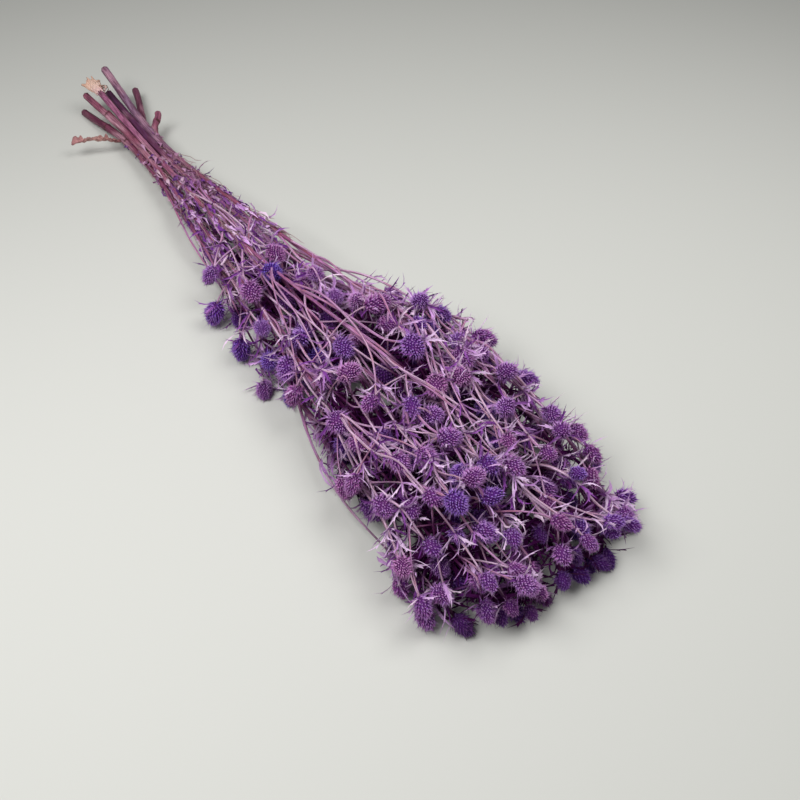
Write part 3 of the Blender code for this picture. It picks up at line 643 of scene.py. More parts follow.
# %% Points, faces and guides
class Pile:
    """Points, faces and the two colour guides of one piece, collected until it is made into an object.

    tone holds three numbers a point: the place from root to tip, the item's own chance, and a mark.
    grain holds coordinates that follow the surface, for streaks and veins.
    """

    def __init__(self):
        self.points, self.faces, self.tone, self.grain, self.count = [], [], [], [], 0

    def add(self, points, faces, tone, grain):
        """Adds points with their guides, and faces that count from the first of these points."""
        self.points.append(points.reshape(-1, 3))
        self.faces += [face + self.count for face in faces]
        self.tone.append(tone.reshape(-1, 3))
        self.grain.append(grain.reshape(-1, 3))
        self.count += len(self.points[-1])


def guides(shape, *values):
    """Three numbers for every point, from three arrays that spread over its shape."""
    return np.stack([np.broadcast_to(value, shape) for value in values], axis=-1)


def put_in_scene(name, data):
    """A new object at the origin."""
    made = bpy.data.objects.new(name, data)
    bpy.context.scene.collection.objects.link(made)
    return made


def make_piece(name, pile, finish, node, smooth=True):
    """An object from a pile. It stands for the node, and rides on the bunch's only body.

    A third guide, buried, says how deep in the bunch a point lies, from 0 to 1, for the painted shade inside
    it. The bare stems have none.
    Smooth pieces keep flat faces where a tube is cut square, so that the cut has a crisp rim.
    """
    grown = np.concatenate(pile.points)
    buried = buried_depth(grown)
    points = np.maximum(grown - CENTRE, [-1.0, -1.0, 0.0])  # nothing reaches below the table
    corners = np.concatenate([face.ravel() for face in pile.faces])
    sizes = np.concatenate([np.full(len(face), face.shape[1]) for face in pile.faces])
    mesh = bpy.data.meshes.new(name)
    mesh.vertices.add(len(points))
    mesh.vertices.foreach_set("co", points.astype(np.float32).ravel())
    mesh.loops.add(len(corners))
    mesh.loops.foreach_set("vertex_index", corners.astype(np.int32))
    mesh.polygons.add(len(sizes))
    mesh.polygons.foreach_set("loop_start", np.concatenate([[0], np.cumsum(sizes)[:-1]]).astype(np.int32))
    for guide in ("tone", "grain"):
        values = np.concatenate(getattr(pile, guide)).astype(np.float32)
        mesh.attributes.new(guide, "FLOAT_VECTOR", "POINT").data.foreach_set("vector", values.ravel())
    mesh.attributes.new("buried", "FLOAT", "POINT").data.foreach_set("value", buried.astype(np.float32))
    mesh.update(calc_edges=True)
    mesh.polygons.foreach_set("use_smooth", smooth & (sizes <= 4))
    mesh.materials.append(finish)
    piece = put_in_scene(name, mesh)
    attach(piece, "root")
    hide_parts(node)
    print(f"{name}: {(sizes - 2).sum()} triangles")


def dress_stem(index, kind, pile, finish, smooth=True):
    """One kind of growth on one stem, as a piece that stands for that stem's node."""
    stem = f"stem_{index + 1}"
    make_piece(f"{stem}_{kind}", pile, finish, stem, smooth)


def dress_stems(kind, seed, finish, slot, *growers, smooth=True):
    """One kind of growth on all nine stems. On each, the growers draw from one seed, in their order."""
    for index in range(len(STEMS)):
        pile, rng = Pile(), np.random.default_rng(SEED + seed + index)
        for grow_part in growers:
            grow_part(pile, index, rng)
        dress_stem(index, kind, pile, finish, smooth)


# %% [markdown]
# ## Shader formulas
#
# A material is a graph of nodes. Written out link by link it is hard to read, so a small class lets an
# ordinary expression build it: `1 - mask` adds a Math node. Any other node comes from one method.

# %% A socket that can be used in a formula
class Wire:
    """An output socket. Operators add Math nodes, and node() adds any other, named without its prefix."""

    def __init__(self, tree, socket=None):
        self.tree, self.socket = tree, socket

    def node(self, kind, settings=None, sockets=None, out=0):
        """Adds a node: its settings first, then each socket's value or link. Gives the output asked for."""
        made = self.tree.nodes.new("ShaderNode" + kind)
        for key, value in (settings or {}).items():
            if key == "stops":
                ramp = made.color_ramp
                while len(ramp.elements) < len(value):
                    ramp.elements.new(0.5)
                for element, (place, colour) in zip(ramp.elements, value, strict=True):
                    element.position, element.color = place, colour
            else:
                setattr(made, key, value)
        for key, value in (sockets or {}).items():
            if isinstance(value, Wire):
                self.tree.links.new(value.socket, made.inputs[key])
            else:
                made.inputs[key].default_value = value
        return Wire(self.tree, made.outputs[out])

    def maths(self, operation, *values):
        """Adds a Math node over values or links."""
        return self.node("Math", {"operation": operation}, dict(enumerate(values)))

    def __add__(self, other):
        return self.maths("ADD", self, other)

    def __mul__(self, other):
        return self.maths("MULTIPLY", self, other)

    def __sub__(self, other):
        return self.maths("SUBTRACT", self, other)

    def __rsub__(self, other):
        return self.maths("SUBTRACT", other, self)

    __radd__, __rmul__ = __add__, __mul__

    def fraction(self):
        """What is left above the whole number below: it turns one chance into another."""
        return self.maths("FRACT", self)

    def between(self, low, high):
        """0 below low, 1 above high, and a smooth rise from one to the other."""
        return self.node("MapRange", {"interpolation_type": "SMOOTHSTEP"}, {0: self, 1: low, 2: high})

    def part(self, k=0):
        """One of this vector's three numbers."""
        return self.node("SeparateXYZ", {}, {0: self}, out=k)

    def mix(self, first, second):
        """A colour that goes from the first to the second as this value goes from 0 to 1."""
        return self.node("Mix", {"data_type": "RGBA"}, {0: self, 6: first, 7: second}, out=2)

    def noise(self, scale, detail=2.0, roughness=0.5):
        """A cloudy value from 0 to 1, read at this vector."""
        sockets = {"Vector": self, "Scale": scale, "Detail": detail, "Roughness": roughness}
        return self.node("TexNoise", {}, sockets)

    def stretched(self, *scale):
        """This vector, scaled along each axis."""
        return self.node("Mapping", {}, {"Vector": self, "Scale": scale})

    def ramp(self, *stops):
        """A colour read off a ramp of (place, colour) stops."""
        return self.node("ValToRGB", {"stops": stops}, {0: self})


def screen(red, green, blue):
    """A colour as it is read off a screen, 0 to 255, turned into the linear light that shaders use."""
    share = np.array([red, green, blue]) / 255
    return (*np.where(share > 0.04045, ((share + 0.055) / 1.055) ** 2.4, share / 12.92), 1.0)


class Finish:
    """A new material: its shader's fixed sockets set, and wires for what the three guides say."""

    def __init__(self, name, roughness, deep, painted_shade_share=1.0, gloss=0.12):
        self.material = bpy.data.materials.new(name)
        self.material.use_nodes = True
        tree = self.material.node_tree
        self.shader = tree.nodes["Principled BSDF"]
        self.shader.inputs["Roughness"].default_value = roughness
        self.shader.inputs["Specular IOR Level"].default_value = gloss
        start = Wire(tree)
        tone = start.node("Attribute", {"attribute_name": "tone"}, out="Vector")
        self.along, self.chance, self.mark = (tone.part(k) for k in range(3))
        self.grain = start.node("Attribute", {"attribute_name": "grain"}, out="Vector")
        self.buried = start.node("Attribute", {"attribute_name": "buried"}, out="Fac")
        self.place = start.node("TexCoord", out="Object")
        # deep is the colour of the painted shade inside the bunch, and the share after it says how much of
        # that shade a finish takes
        self.deep, self.painted_shade_share = deep, painted_shade_share

    def connect(self, colour, height, depth):
        """Feeds the shader a colour, which turns to the deep one inside the bunch as painted shade, and bumps
        of a depth.
        """
        links = self.material.node_tree.links
        # painted shade: the colour goes over to the deep one with the depth under the tent
        colour = (self.buried.between(0.0, 0.65) * self.painted_shade_share).mix(colour, self.deep)
        links.new(colour.socket, self.shader.inputs["Base Color"])
        bump = height.node("Bump", {}, {"Distance": depth, "Height": height})
        links.new(bump.socket, self.shader.inputs["Normal"])
        return self.material


# %% [markdown]
# ## The dyed wood
#
# Dye takes best in the thick, bare part of a stem, and each stem took it in its own way: one is a greyish
# mauve, one a dark plum, most are dusty rose, all with fine streaks along them. Towards the flowers the
# twigs are pale lilac. Brown scars mark the nodes where leaves were stripped off. On a square cut the second
# and third grain coordinates run from 0 in the middle to 1 at the rim, so they draw the pale pith and the
# brown rind round it.

# %% The wood's finish
BARE_TINTS = (  # of the nine stems, in their order
    (150, 116, 144), (98, 56, 94), (190, 118, 156), (166, 96, 118), (152, 82, 108),
    (172, 92, 112), (178, 102, 122), (146, 88, 112), (164, 96, 118),
)


def wood_finish():
    """Each stem's own dye, paler twigs, dark streaks, brown scars, and the pith of the cuts.

    Pale patches are painted highlights, and painted shade darkens the bare stems low down near the table.
    """
    # deep is the painted shade colour of the wood inside the bunch
    wood = Finish("dyed_wood", roughness=0.55, deep=screen(76, 10, 68), gloss=0.25)
    streaks = wood.grain.stretched(0.3, 3.4, 3.4).noise(1.8, 4.0, 0.65)
    patches, blots = wood.grain.noise(0.25), wood.grain.stretched(1.0, 1.4, 1.4).noise(0.8, 3.0, 0.6)
    bare = wood.chance.ramp(*((k / 8, screen(*tint)) for k, tint in enumerate(BARE_TINTS)))
    bare = (blots.between(0.45, 0.68) * 0.75).mix(bare, screen(98, 50, 72))
    # pale patches: painted highlights on the bare stems
    bare = ((1 - patches.between(0.32, 0.52)) * 0.75).mix(bare, screen(226, 172, 190))
    twig = (wood.along + (blots - 0.5) * 0.8 + (wood.chance - 0.5) * 0.4).ramp(
        (0.15, screen(160, 86, 112)),
        (0.45, screen(172, 98, 150)),
        (0.75, screen(226, 164, 222)),
        (1.00, screen(254, 216, 250)),
    )
    dye = wood.along.between(0.16, 0.42).mix(bare, twig)
    dye = ((1 - streaks).between(0.44, 0.60) * 0.8).mix(dye, screen(78, 28, 58))
    rusty = (patches * 5.0 + wood.chance * 3.0).fraction().between(0.70, 0.9) * wood.along.between(0.25, 0.5)
    dye = (rusty * 0.45).mix(dye, screen(190, 112, 108))
    # painted shade: the bare stems darken low down, near the table
    height = wood.place.part(2)
    low = (1 - height.between(0.003, 0.018)) * (1 - wood.along.between(0.5, 0.8)) * 0.6
    dye = low.mix(dye, screen(70, 12, 40))
    brown = wood.mark.between(0.15, 0.8) * (0.6 + 0.5 * blots)
    dye = brown.mix(dye, screen(74, 38, 38))
    axes = [wood.grain.part(k) for k in (1, 2)]
    off_pith = axes[0] * axes[0] + axes[1] * axes[1]
    colour = (1 - off_pith.between(0.45, 0.85)).mix(dye, screen(196, 164, 158))
    return wood.connect(colour, streaks + blots * 0.6, 0.0005)


# %% [markdown]
# ## Stems, branches and stalks
#
# Every strand is a tube: a ring of points square to a smooth line. A main stem has fine ribs, so its radius
# changes round the ring as a cosine, and it swells where a branch leaves it. Branches and stalks are slimmer
# and carry fewer points. A strand's end is sunk in what it grows from, and every end is closed.

# %% Tubes
def tubes(pile, paths, radii, sides, paleness, chance, marks=0.0, ribs=0, rib_depth=0.0):
    """Adds a tube along each path: centre + radius x (cos a, sin a) across it, ribbed by a cosine round it.

    Paths are (items, rows, 3). Radii and paleness spread over items and rows, and marks over their sides too.
    """
    items, rows = paths.shape[:2]
    slopes = rows_to_unit(np.gradient(paths, axis=1))
    chord = abs(rows_to_unit(paths[:, -1] - paths[:, 0]))
    reference = np.eye(3)[chord.argmin(axis=1)][:, None]
    u = rows_to_unit(reference - (reference * slopes).sum(-1, keepdims=True) * slopes)
    v = np.cross(slopes, u)
    angle = evenly_round(sides)
    swell = 1 + rib_depth * np.cos(ribs * angle)
    reach = (np.broadcast_to(radii, (items, rows))[..., None] * swell)[..., None]
    across = around(u[:, :, None], v[:, :, None], angle[:, None])
    points = paths[:, :, None] + reach * across
    length = np.cumsum(np.linalg.norm(np.diff(paths, axis=1, prepend=paths[:, :1]), axis=-1), axis=1)
    shape = points.shape[:3]
    chance = np.broadcast_to(chance, (items,))[:, None, None]
    tone = guides(shape, np.broadcast_to(paleness, (items, rows))[..., None], chance, marks)
    grain = guides(shape, length[..., None] * 100 + 37 * chance, np.cos(angle), np.sin(angle))
    pile.add(points, ring_faces(shape), tone, grain)


def bowed_path(start, end, leave, arrive, rows):
    """Points on cubic arcs from start to end, leaving and arriving along the given directions."""
    span = np.linalg.norm(end - start, axis=-1, keepdims=True) / 3
    knots = np.stack([start, start + leave * span, end - arrive * span, end], axis=1)
    t = np.linspace(0, 1, rows)[:, None]
    weights = np.hstack([(1 - t) ** 3, 3 * t * (1 - t) ** 2, 3 * t**2 * (1 - t), t**3])
    return np.einsum("rk,nkc->nrc", weights, knots)


# %% Main stems
STEM_ROWS, RIB_SIDES, STEM_RIBS, RIB_DEPTH = 120, 24, 7, 0.05
CUT_BEVEL = 0.00025
THINNING, THIN_RADII = [0, 0.3, 0.45, 0.6, 1], [0.0019, 0.0012, 0.0008]  # of a stem among the flowers
OLD_NODES, FIRST_NODE = 2, 10  # leaf scars on the bare part of each stem, and the first row that may bear one
SWELL_REACH, SCAR_REACH = (0.0035, 0.0020), (0.0030, 0.0015)  # round a branch and round an old node
SWOLLEN_WOOD = 1.08  # the solids are round rods inside the ribbed bark
MARK_TWIST = 9  # how far the side that bears the scars winds round a stem, in radians
dyed_wood = wood_finish()


def nearest(points, spots):
    """The distance from each point to the nearest spot."""
    return np.linalg.norm(points[:, None] - spots, axis=-1).min(axis=1)


def fading(distance, reach):
    """A bell curve, 1 at no distance: exp(-(distance / reach)^2)."""
    return np.exp(-((distance / reach) ** 2))


def main_stem(pile, index, rng):
    """A stem from its cut end to its last fork, swollen and scarred where branches or old leaves leave it."""
    knots, radius = STEMS[index]
    path = spline(knots, STEM_ROWS)
    path = np.vstack([path[0], path[0] + CUT_BEVEL * unit(path[1] - path[0]), path[1:]])
    share = np.linspace(0, 1, len(path))
    places = np.array([fork["route"][0] for fork in of_stem(forks, index) if fork["side"]])
    nodes = path[rng.integers(FIRST_NODE, len(path) // 3, OLD_NODES)]
    off_branch, off_node = nearest(path, places), nearest(path, nodes)
    swollen = fading(off_branch, SWELL_REACH[0]) + 0.6 * fading(off_node, SWELL_REACH[1])
    width = np.interp(share, THINNING, [radius, radius * 0.93, *THIN_RADII])
    width *= 1 + 0.2 * swollen
    width *= SWOLLEN_WOOD + 0.03 * np.sin(share * 60 + index) + 0.01 * np.sin(share * 171 + 2 * index)
    width[0] *= 0.93
    scar = 0.25 * fading(off_branch, SCAR_REACH[0]) + fading(off_node, SCAR_REACH[1])
    turn = evenly_round(RIB_SIDES) + rng.uniform(0, ROUGH_TURN) + share[:, None] * MARK_TWIST
    mark = scar[:, None] * np.clip(0.9 * np.cos(turn), 0, 1)
    mark[:2] = np.maximum(mark[:2], 0.5)
    pale = 0.85 * share**1.3
    tubes(pile, path[None], width[None], RIB_SIDES, pale, index / 8, mark, STEM_RIBS, RIB_DEPTH)


# %% Side branches and stalks
BRANCH_ROWS, BRANCH_SIDES = 22, 8
STALK_ROWS, STALK_SIDES = 9, 6
BRANCH_SHARE, STALK_SHARE = np.linspace(0, 1, BRANCH_ROWS), np.linspace(0, 1, STALK_ROWS)
PALE_BRANCH = np.interp(BRANCH_SHARE, [0, 0.4, 1], [0.5, 0.8, 1.0])
FORKED_RADII = np.interp(BRANCH_SHARE, [0, 0.12, 0.9, 1], [0.0013, 0.0009, 0.0007, 0.0009])
RUNNING_ON_RADII = np.interp(BRANCH_SHARE, [0, 0.12, 0.75, 1], [0.0013, 0.0009, 0.0006, 0.00045])
STALK_RADII = np.interp(STALK_SHARE, [0, 0.15, 0.85, 1], [0.0008, 0.0005, 0.00045, 0.0008])
SUNK = 0.001  # how far a strand's end is sunk in what it carries
WAVE_HEIGHT = 0.0008


def side_branches(pile, index, rng):
    """The side branches of a stem. Where a branch's middle stalk runs on from it, the two are one tube."""
    routes, radii = [], []
    for fork in of_stem(forks, index):
        if fork["side"] and not fork.get("runs_on"):
            onward = unit(fork["route"][-1] - fork["route"][-2])
            routes.append(spline([*fork["route"][:-1], fork["route"][-1] + SUNK * onward], BRANCH_ROWS))
            radii.append(FORKED_RADII)
    for head in of_stem(heads, index):
        if len(head["line"]) > 2:
            routes.append(spline(head["line"], BRANCH_ROWS))
            radii.append(RUNNING_ON_RADII)
    wobble = 1 + 0.1 * np.sin(30 * BRANCH_SHARE + rng.uniform(0, 6, (len(routes), 1)))
    routes = np.array(routes)
    waves = np.sin(BRANCH_SHARE[:, None] * rng.uniform(6, 16, (len(routes), 1, 3)))
    routes += WAVE_HEIGHT * np.sin(BRANCH_SHARE * math.pi)[:, None] * waves
    tubes(pile, routes, np.array(radii) * wobble, BRANCH_SIDES, PALE_BRANCH, rng.uniform(0, 1, len(routes)))


def stalks(pile, index, rng):
    """The other stalks: each bows from its fork to its head's neck, and thickens under the head."""
    own = [head for head in of_stem(heads, index) if len(head["line"]) == 2]
    root, neck = (np.array([head["line"][k] for head in own]) for k in (0, 1))
    axis = np.array([head["axis"] for head in own])
    way = rows_to_unit(neck - root)
    paths = bowed_path(root, neck + axis * SUNK, rows_to_unit(way + 0.35 * (way - axis)), axis, STALK_ROWS)
    pale = np.linspace(0.8, 1.0, STALK_ROWS)
    tubes(pile, paths, STALK_RADII, STALK_SIDES, pale, rng.uniform(0, 1, len(own)))


dress_stems("wood", 10, dyed_wood, "stem", main_stem, side_branches, stalks)

# %% [markdown]
# ## Flower heads
#
# A sea holly head is a cone of tiny florets, each on its own stiff bristle-tipped scale. They sit in the
# spirals of a sunflower: each one is turned by the golden angle from the last. A texture would give flat
# dots, so every floret is a real bud with a pointed tip, and its scale is a thin spike beside it. Both have
# only a few faces, because they are repeated thousands of times.

# %% The florets' finish
def floret_finish():
    """Orchid to indigo, by the head's own mark, with a pale tip on every floret and painted shade at its foot
    and on the core.
    """
    # deep is the painted shade colour of heads inside the bunch; the florets take only part of it
    floret = Finish("dyed_florets", roughness=0.8, deep=screen(66, 16, 96), painted_shade_share=0.6)
    own = floret.grain.part().fraction()
    hue = floret.mark + (floret.chance - 0.5) * 0.2 + (own - 0.5) * 0.25
    dye = hue.ramp(
        (0.00, screen(172, 90, 166)),
        (0.30, screen(150, 82, 176)),
        (0.60, screen(120, 62, 180)),
        (0.85, screen(88, 44, 174)),
        (1.00, screen(58, 30, 150)),
    )
    tip = hue.ramp(
        (0.00, screen(226, 176, 224)),
        (0.45, screen(206, 164, 228)),
        (1.00, screen(156, 126, 232)),
    )
    dye = (floret.along.between(0.32, 0.80) * (0.55 + 0.45 * own)).mix(dye, tip)
    # painted shade: the foot of every floret and the core under them darken, where the florets shade each
    # other
    painted_gap_shade = (1 - floret.along.between(0.0, 0.5)) * 0.8
    colour = painted_gap_shade.mix(dye, screen(70, 22, 84))
    return floret.connect(colour, floret.place.noise(2200.0), 0.0002)


# %% [markdown]
# The formula of a head: floret k of n stands at height 1 - 2(k + 1/2)/n on an egg, turned by k golden
# angles.
#
# The dye took unevenly. Heads on the bunch's back faded to orchid, and slow waves run through all of them.
# Heads deep in the bunch are a darker indigo blue: partly dye that kept its colour, partly painted shade.

# %% Heads
FLORETS_LARGE, FLORETS_SMALL, LARGE_WIDTH = 182, 108, 0.0104
GOLDEN_TURN = math.pi * (3 - math.sqrt(5))
CORE_ROWS, CORE_SIDES, CORE_SHARE = 8, 10, 0.72
BUD_RINGS, BUD_TIP = [(-0.0005, 0.00036), (0.0007, 0.00046)], 0.0020
SCALE_RINGS, SCALE_TIP = [(-0.0004, 0.00026)], 0.0037
CORE_END, CORE_TALL, FEET_TALL = 0.97, 0.90, 0.92  # shares of a head's half length
BUD_RISE, BUD_STRAY = 1.05, 0.24  # how much buds point up the head rather than off it, and how unevenly
SCALE_LEAN, SCALE_STRAY, SCALE_DROP = 0.20, 0.14, 0.0006  # how scales lean out beside buds, and sit lower
BLUE_WAVES = 60  # radians a metre
BLUE_BACK, BLUE_GAIN, BLUE_DEPTH = 0.17, 0.35, 0.05  # on the bunch's back, and what depth adds
dyed_florets = floret_finish()


def blueness(points):
    """How blue and dark a head is, from 0 for orchid to 1 for indigo: two slow waves of dye, and more with
    depth, which is partly dye and partly painted shade.
    """
    x, y, z = (points * BLUE_WAVES).T
    depth = back_height(points.T) - points[:, 2]
    waves = 0.18 * np.sin(x * 1.3 + 2.1 * np.sin(y)) + 0.14 * np.sin(y * 1.7 - z + 0.6)
    # the depth term darkens deep heads towards indigo: partly dye, partly painted shade
    return BLUE_BACK + waves + np.clip(depth / BLUE_DEPTH, -0.2, 1) * BLUE_GAIN


def egg(height):
    """A head's half width, as a share, at a height from -1 to 1: a circle that is fuller towards the neck."""
    return np.sqrt(np.maximum(1 - height**2, 0)) * (1 - 0.14 * height)


def spikes(foot, way, rings, apex, size, sides):
    """Pointed items: rings at given distances and radii along each way, then a point, all scaled by size."""
    u, v = square_pairs(way)
    angle = evenly_round(sides)
    across = around(u[:, None], v[:, None], angle[:, None])
    made = [
        foot[:, None] + size[:, None] * (way[:, None] * reach + across * radius) for reach, radius in rings
    ]
    return np.stack(made, axis=1), foot + way * size * apex


def add_spikes(pile, spike, along, own, chance, mark):
    """Puts pointed items on a pile: rings first, then their points."""
    rings, tips = spike
    shape = rings.shape[:3]
    tone = guides(shape, np.array(along[:-1])[:, None], chance[:, None, None], mark[:, None, None])
    tip_tone = guides(chance.shape, along[-1], chance, mark)
    grain = np.broadcast_to(own[:, None, None], (*shape, 3)).reshape(-1, 3)
    points = np.concatenate([rings.reshape(-1, 3), tips])
    faces = ring_faces(shape, closed_tip=False) + apex_faces(shape)
    pile.add(points, faces, np.concatenate([tone.reshape(-1, 3), tip_tone]), np.concatenate([grain, own]))


def add_heads(pile, group, florets, rng):
    """Adds the cores and florets of a group of heads, with the same number of florets on each."""
    axis, neck = (np.array([head[key] for head in group]) for key in ("axis", "neck"))
    long, wide = (np.array([head[key] for head in group]) / 2 for key in ("length", "width"))
    count = len(group)
    chance = rng.uniform(0, 1, count)
    hue = np.clip(blueness(neck) + rng.normal(0, 0.12, count), 0, 1)

    level = np.linspace(-CORE_END, CORE_END, CORE_ROWS)
    middle = neck + axis * long[:, None]
    cores = middle[:, None] + axis[:, None] * (level[None, :, None] * long[:, None, None] * CORE_TALL)
    tubes(pile, cores, wide[:, None] * egg(level) * CORE_SHARE, CORE_SIDES, 0.05, chance, hue[:, None, None])

    k = np.arange(florets)
    height = 1 - 2 * (k + 0.5) / florets
    turn = k * GOLDEN_TURN + rng.uniform(0, FULL_TURN, (count, 1))
    u, v = square_pairs(axis)
    outward = around(u[:, None], v[:, None], turn[..., None])
    up = axis[:, None]
    girth = egg(height) * wide[:, None] * CORE_SHARE
    foot = middle[:, None] + up * (height * long[:, None] * FEET_TALL)[..., None] + outward * girth[..., None]
    upwards, outwards = height / long[:, None], egg(height) / wide[:, None]
    normal = rows_to_unit(up * upwards[..., None] + outward * outwards[..., None])
    way = rows_to_unit(normal + BUD_RISE * up + rng.normal(0, BUD_STRAY, normal.shape))
    size = (0.4 + wide[:, None] / 0.0100) * (1.05 - 0.12 * height) * rng.uniform(0.6, 1.3, turn.shape)
    foot, way, size, outward = (a.reshape(-1, a.shape[-1]) for a in (foot, way, size[..., None], outward))
    own = rng.uniform(0, 1, (len(foot), 3))
    per_floret = {"own": own, "chance": np.repeat(chance, florets), "mark": np.repeat(hue, florets)}
    add_spikes(pile, spikes(foot, way, BUD_RINGS, BUD_TIP, size, 3), (0.0, 0.5, 0.95), **per_floret)
    lean = rows_to_unit(way + SCALE_LEAN * outward + rng.normal(0, SCALE_STRAY, way.shape))
    low = foot - SCALE_DROP * np.repeat(axis, florets, axis=0)
    longer = size * rng.uniform(0.7, 1.25, size.shape)
    add_spikes(pile, spikes(low, lean, SCALE_RINGS, SCALE_TIP, longer, 3), (0.15, 1.0), **per_floret)


def stem_heads(pile, index, rng):
    """One stem's heads: the large ones, then the small ones with fewer florets."""
    own = of_stem(heads, index)
    add_heads(pile, [head for head in own if head["width"] >= LARGE_WIDTH], FLORETS_LARGE, rng)
    add_heads(pile, [head for head in own if head["width"] < LARGE_WIDTH], FLORETS_SMALL, rng)


dress_stems("heads", 20, dyed_florets, "head", stem_heads)

# %% [markdown]
# ## Spiny blades
#
# Bracts and leaves are one kind of thing: a narrow blade with a stiff rib and a few long teeth on each side,
# each tooth ending in a spine. One formula serves both. At each step from root to tip the blade's section is
# a flat diamond: right edge, upper rib, left edge, lower rib. Teeth come from the half width, which jumps
# out and back, and from the lead, which moves a tooth's point forward.

# %% Blades
RIB_THICKNESS, RIB_TAPER = 0.20, 0.75  # as a share of the half width, and how much of it is lost at the tip
BRACT_OUTLINE = np.array([  # place along the rib, half width as a share, and the edge's lead
    (0.00, 0.90, 0.00), (0.18, 0.90, 0.00), (0.34, 0.85, 0.00), (0.39, 2.00, 0.12), (0.44, 0.80, 0.00),
    (0.62, 1.60, 0.10), (0.67, 0.55, 0.00), (1.00, 0.05, 0.00),
])
LEAF_OUTLINE = np.array([
    (0.00, 1.00, 0.00), (0.20, 0.80, 0.00), (0.33, 0.95, 0.00), (0.39, 1.80, 0.10), (0.44, 0.90, 0.00),
    (0.57, 0.80, 0.00), (0.63, 1.60, 0.09), (0.68, 0.60, 0.00), (0.82, 0.45, 0.00), (1.00, 0.05, 0.00),
])


def blades(pile, roots, tips, faces, outline, rng, width, arch, sweep, fold, twist):
    """Adds curved, toothed blades from root to tip, their upper side towards face. Pairs are least and most.

    The rib bows off a straight line by arch towards the face and by sweep sideways, as shares of the length.
    The edges are raised by fold, as a share of their distance from the rib, and twist turns the section.
    """
    root, tip, face = (np.array(corner) for corner in (roots, tips, faces))
    ranges = (width, arch, sweep, fold, twist)
    width, arch, sweep, fold, twist = (rng.uniform(*pair, (len(root), 1)) for pair in ranges)
    chance = rng.uniform(0, 1, (len(root), 1, 1))
    v, share, lead = outline.T
    chord = tip - root
    length = np.linalg.norm(chord, axis=-1, keepdims=True)
    along = chord / length
    up = rows_to_unit(face - (face * along).sum(-1, keepdims=True) * along)
    side = np.cross(up, along)
    bow = 4 * v * (1 - v)
    angle = (twist * v)[..., None]
    side_here, up_here = around(side[:, None], up[:, None], angle), around(up[:, None], -side[:, None], angle)
    rib = root[:, None] + chord[:, None] * v[:, None]
    arched, swept = ((part * bow * length)[..., None] for part in (arch, sweep))
    rib = rib + arched * up[:, None] + swept * side[:, None]
    half = (width * share)[..., None]
    thick = (RIB_THICKNESS * width * (1 - RIB_TAPER * v) * np.minimum(share, 1))[..., None]
    ahead = (lead * length)[..., None] * along[:, None]
    edge_rise = fold[..., None] * half * up_here
    right = rib + half * side_here + ahead + edge_rise
    left = rib - half * side_here + ahead + edge_rise
    rings = np.stack([right, rib + thick * up_here, left, rib - thick * up_here], axis=2)
    edge = np.array([1.0, 0.0, 1.0, 0.0])
    tone = guides(rings.shape[:3], v[:, None], chance, edge * 0.5 * np.minimum(share, 2)[:, None])
    grain = guides(rings.shape[:3], v[:, None] * length[..., None] * 100, edge + 5 * chance, chance * 9)
    pile.add(rings, ring_faces(rings.shape[:3]), tone, grain)


# %% The blades' finish
def blade_finish():
    """Violet blades, paler towards the tips of the bunch, dusty on the bare stems with some painted shade
    among the rags, and with light spines.
    """
    # deep is the painted shade colour of blades inside the bunch
    blade = Finish("dyed_blade", roughness=0.7, deep=screen(70, 8, 72))
    patches = blade.grain.noise(1.1, 3.0, 0.6)
    x = blade.place.part()
    pale = blade.chance + x.between(0.06, 0.18) * 0.22 + (patches - 0.5) * 0.4
    colour = pale.ramp(
        (0.05, screen(114, 50, 144)),
        (0.38, screen(152, 82, 174)),
        (0.66, screen(224, 174, 234)),
        (0.95, screen(246, 214, 250)),
    )
    # dust, and in the darkest stop painted shade between the rags, spread at random over them
    dust_and_shade = (blade.chance + (patches - 0.5) * 0.6).ramp(
        (0.00, screen(72, 30, 76)),
        (0.12, screen(108, 62, 148)),
        (0.22, screen(148, 98, 146)),
        (0.55, screen(186, 134, 168)),
        (1.00, screen(208, 168, 198)),
    )
    colour = (1 - x.between(-0.14, -0.04)).mix(colour, dust_and_shade)
    colour = ((1 - blade.along.between(0.0, 0.35)) * 0.6).mix(colour, screen(120, 62, 130))
    cream = blade.chance.between(0.90, 0.97) * 0.3
    colour = cream.mix(colour, screen(236, 214, 206))
    spine = blade.mark.between(0.3, 1.0) * 0.4
    colour = spine.mix(colour, screen(238, 208, 232))
    veins = blade.grain.stretched(1.5, 9.0, 1.0).noise(2.0, 3.0)
    return blade.connect(colour, veins, 0.0003)


dyed_blade = blade_finish()


# %% [markdown]
# Each head stands on a collar of narrow bracts, and each fork in a whorl of leaves. Those of the solids keep
# their place, so that the dressed bunch fits them, and others fill the gaps between them.

# %% Bracts and leaves
COLLAR_RISE, COLLAR_OUT = 0.08, 0.14  # where a bract's blade starts, as shares of its head's length and width
FILLING_BRACT, FILLING_LEAF = 0.80, 0.95  # length of the added ones, as a share of those of the solids


def collar(pile, index, rng):
    """The bracts under one stem's heads: those of the solids, and shorter ones where none had room."""
    roots, tips, faces = [], [], []
    for head in of_stem(heads, index):
        for outward, tip in zip(head_spokes(head), head["bracts"], strict=True):
            rise = COLLAR_RISE * head["length"] * head["axis"]
            roots.append(head["neck"] + rise + COLLAR_OUT * head["width"] * outward)
            if tip is None:
                reach = rng.uniform(*BRACT_LENGTH) * FILLING_BRACT
                tip = roots[-1] + unit(outward + rng.uniform(0.0, 0.8) * head["axis"]) * reach
            tips.append(tip)
            faces.append(head["axis"])
    blades(
        pile, roots, tips, faces, BRACT_OUTLINE, rng,
        width=(0.0005, 0.0009), arch=(-0.1, 0.2), sweep=(-0.14, 0.14), fold=(0.2, 0.7), twist=(-1, 1),
    )


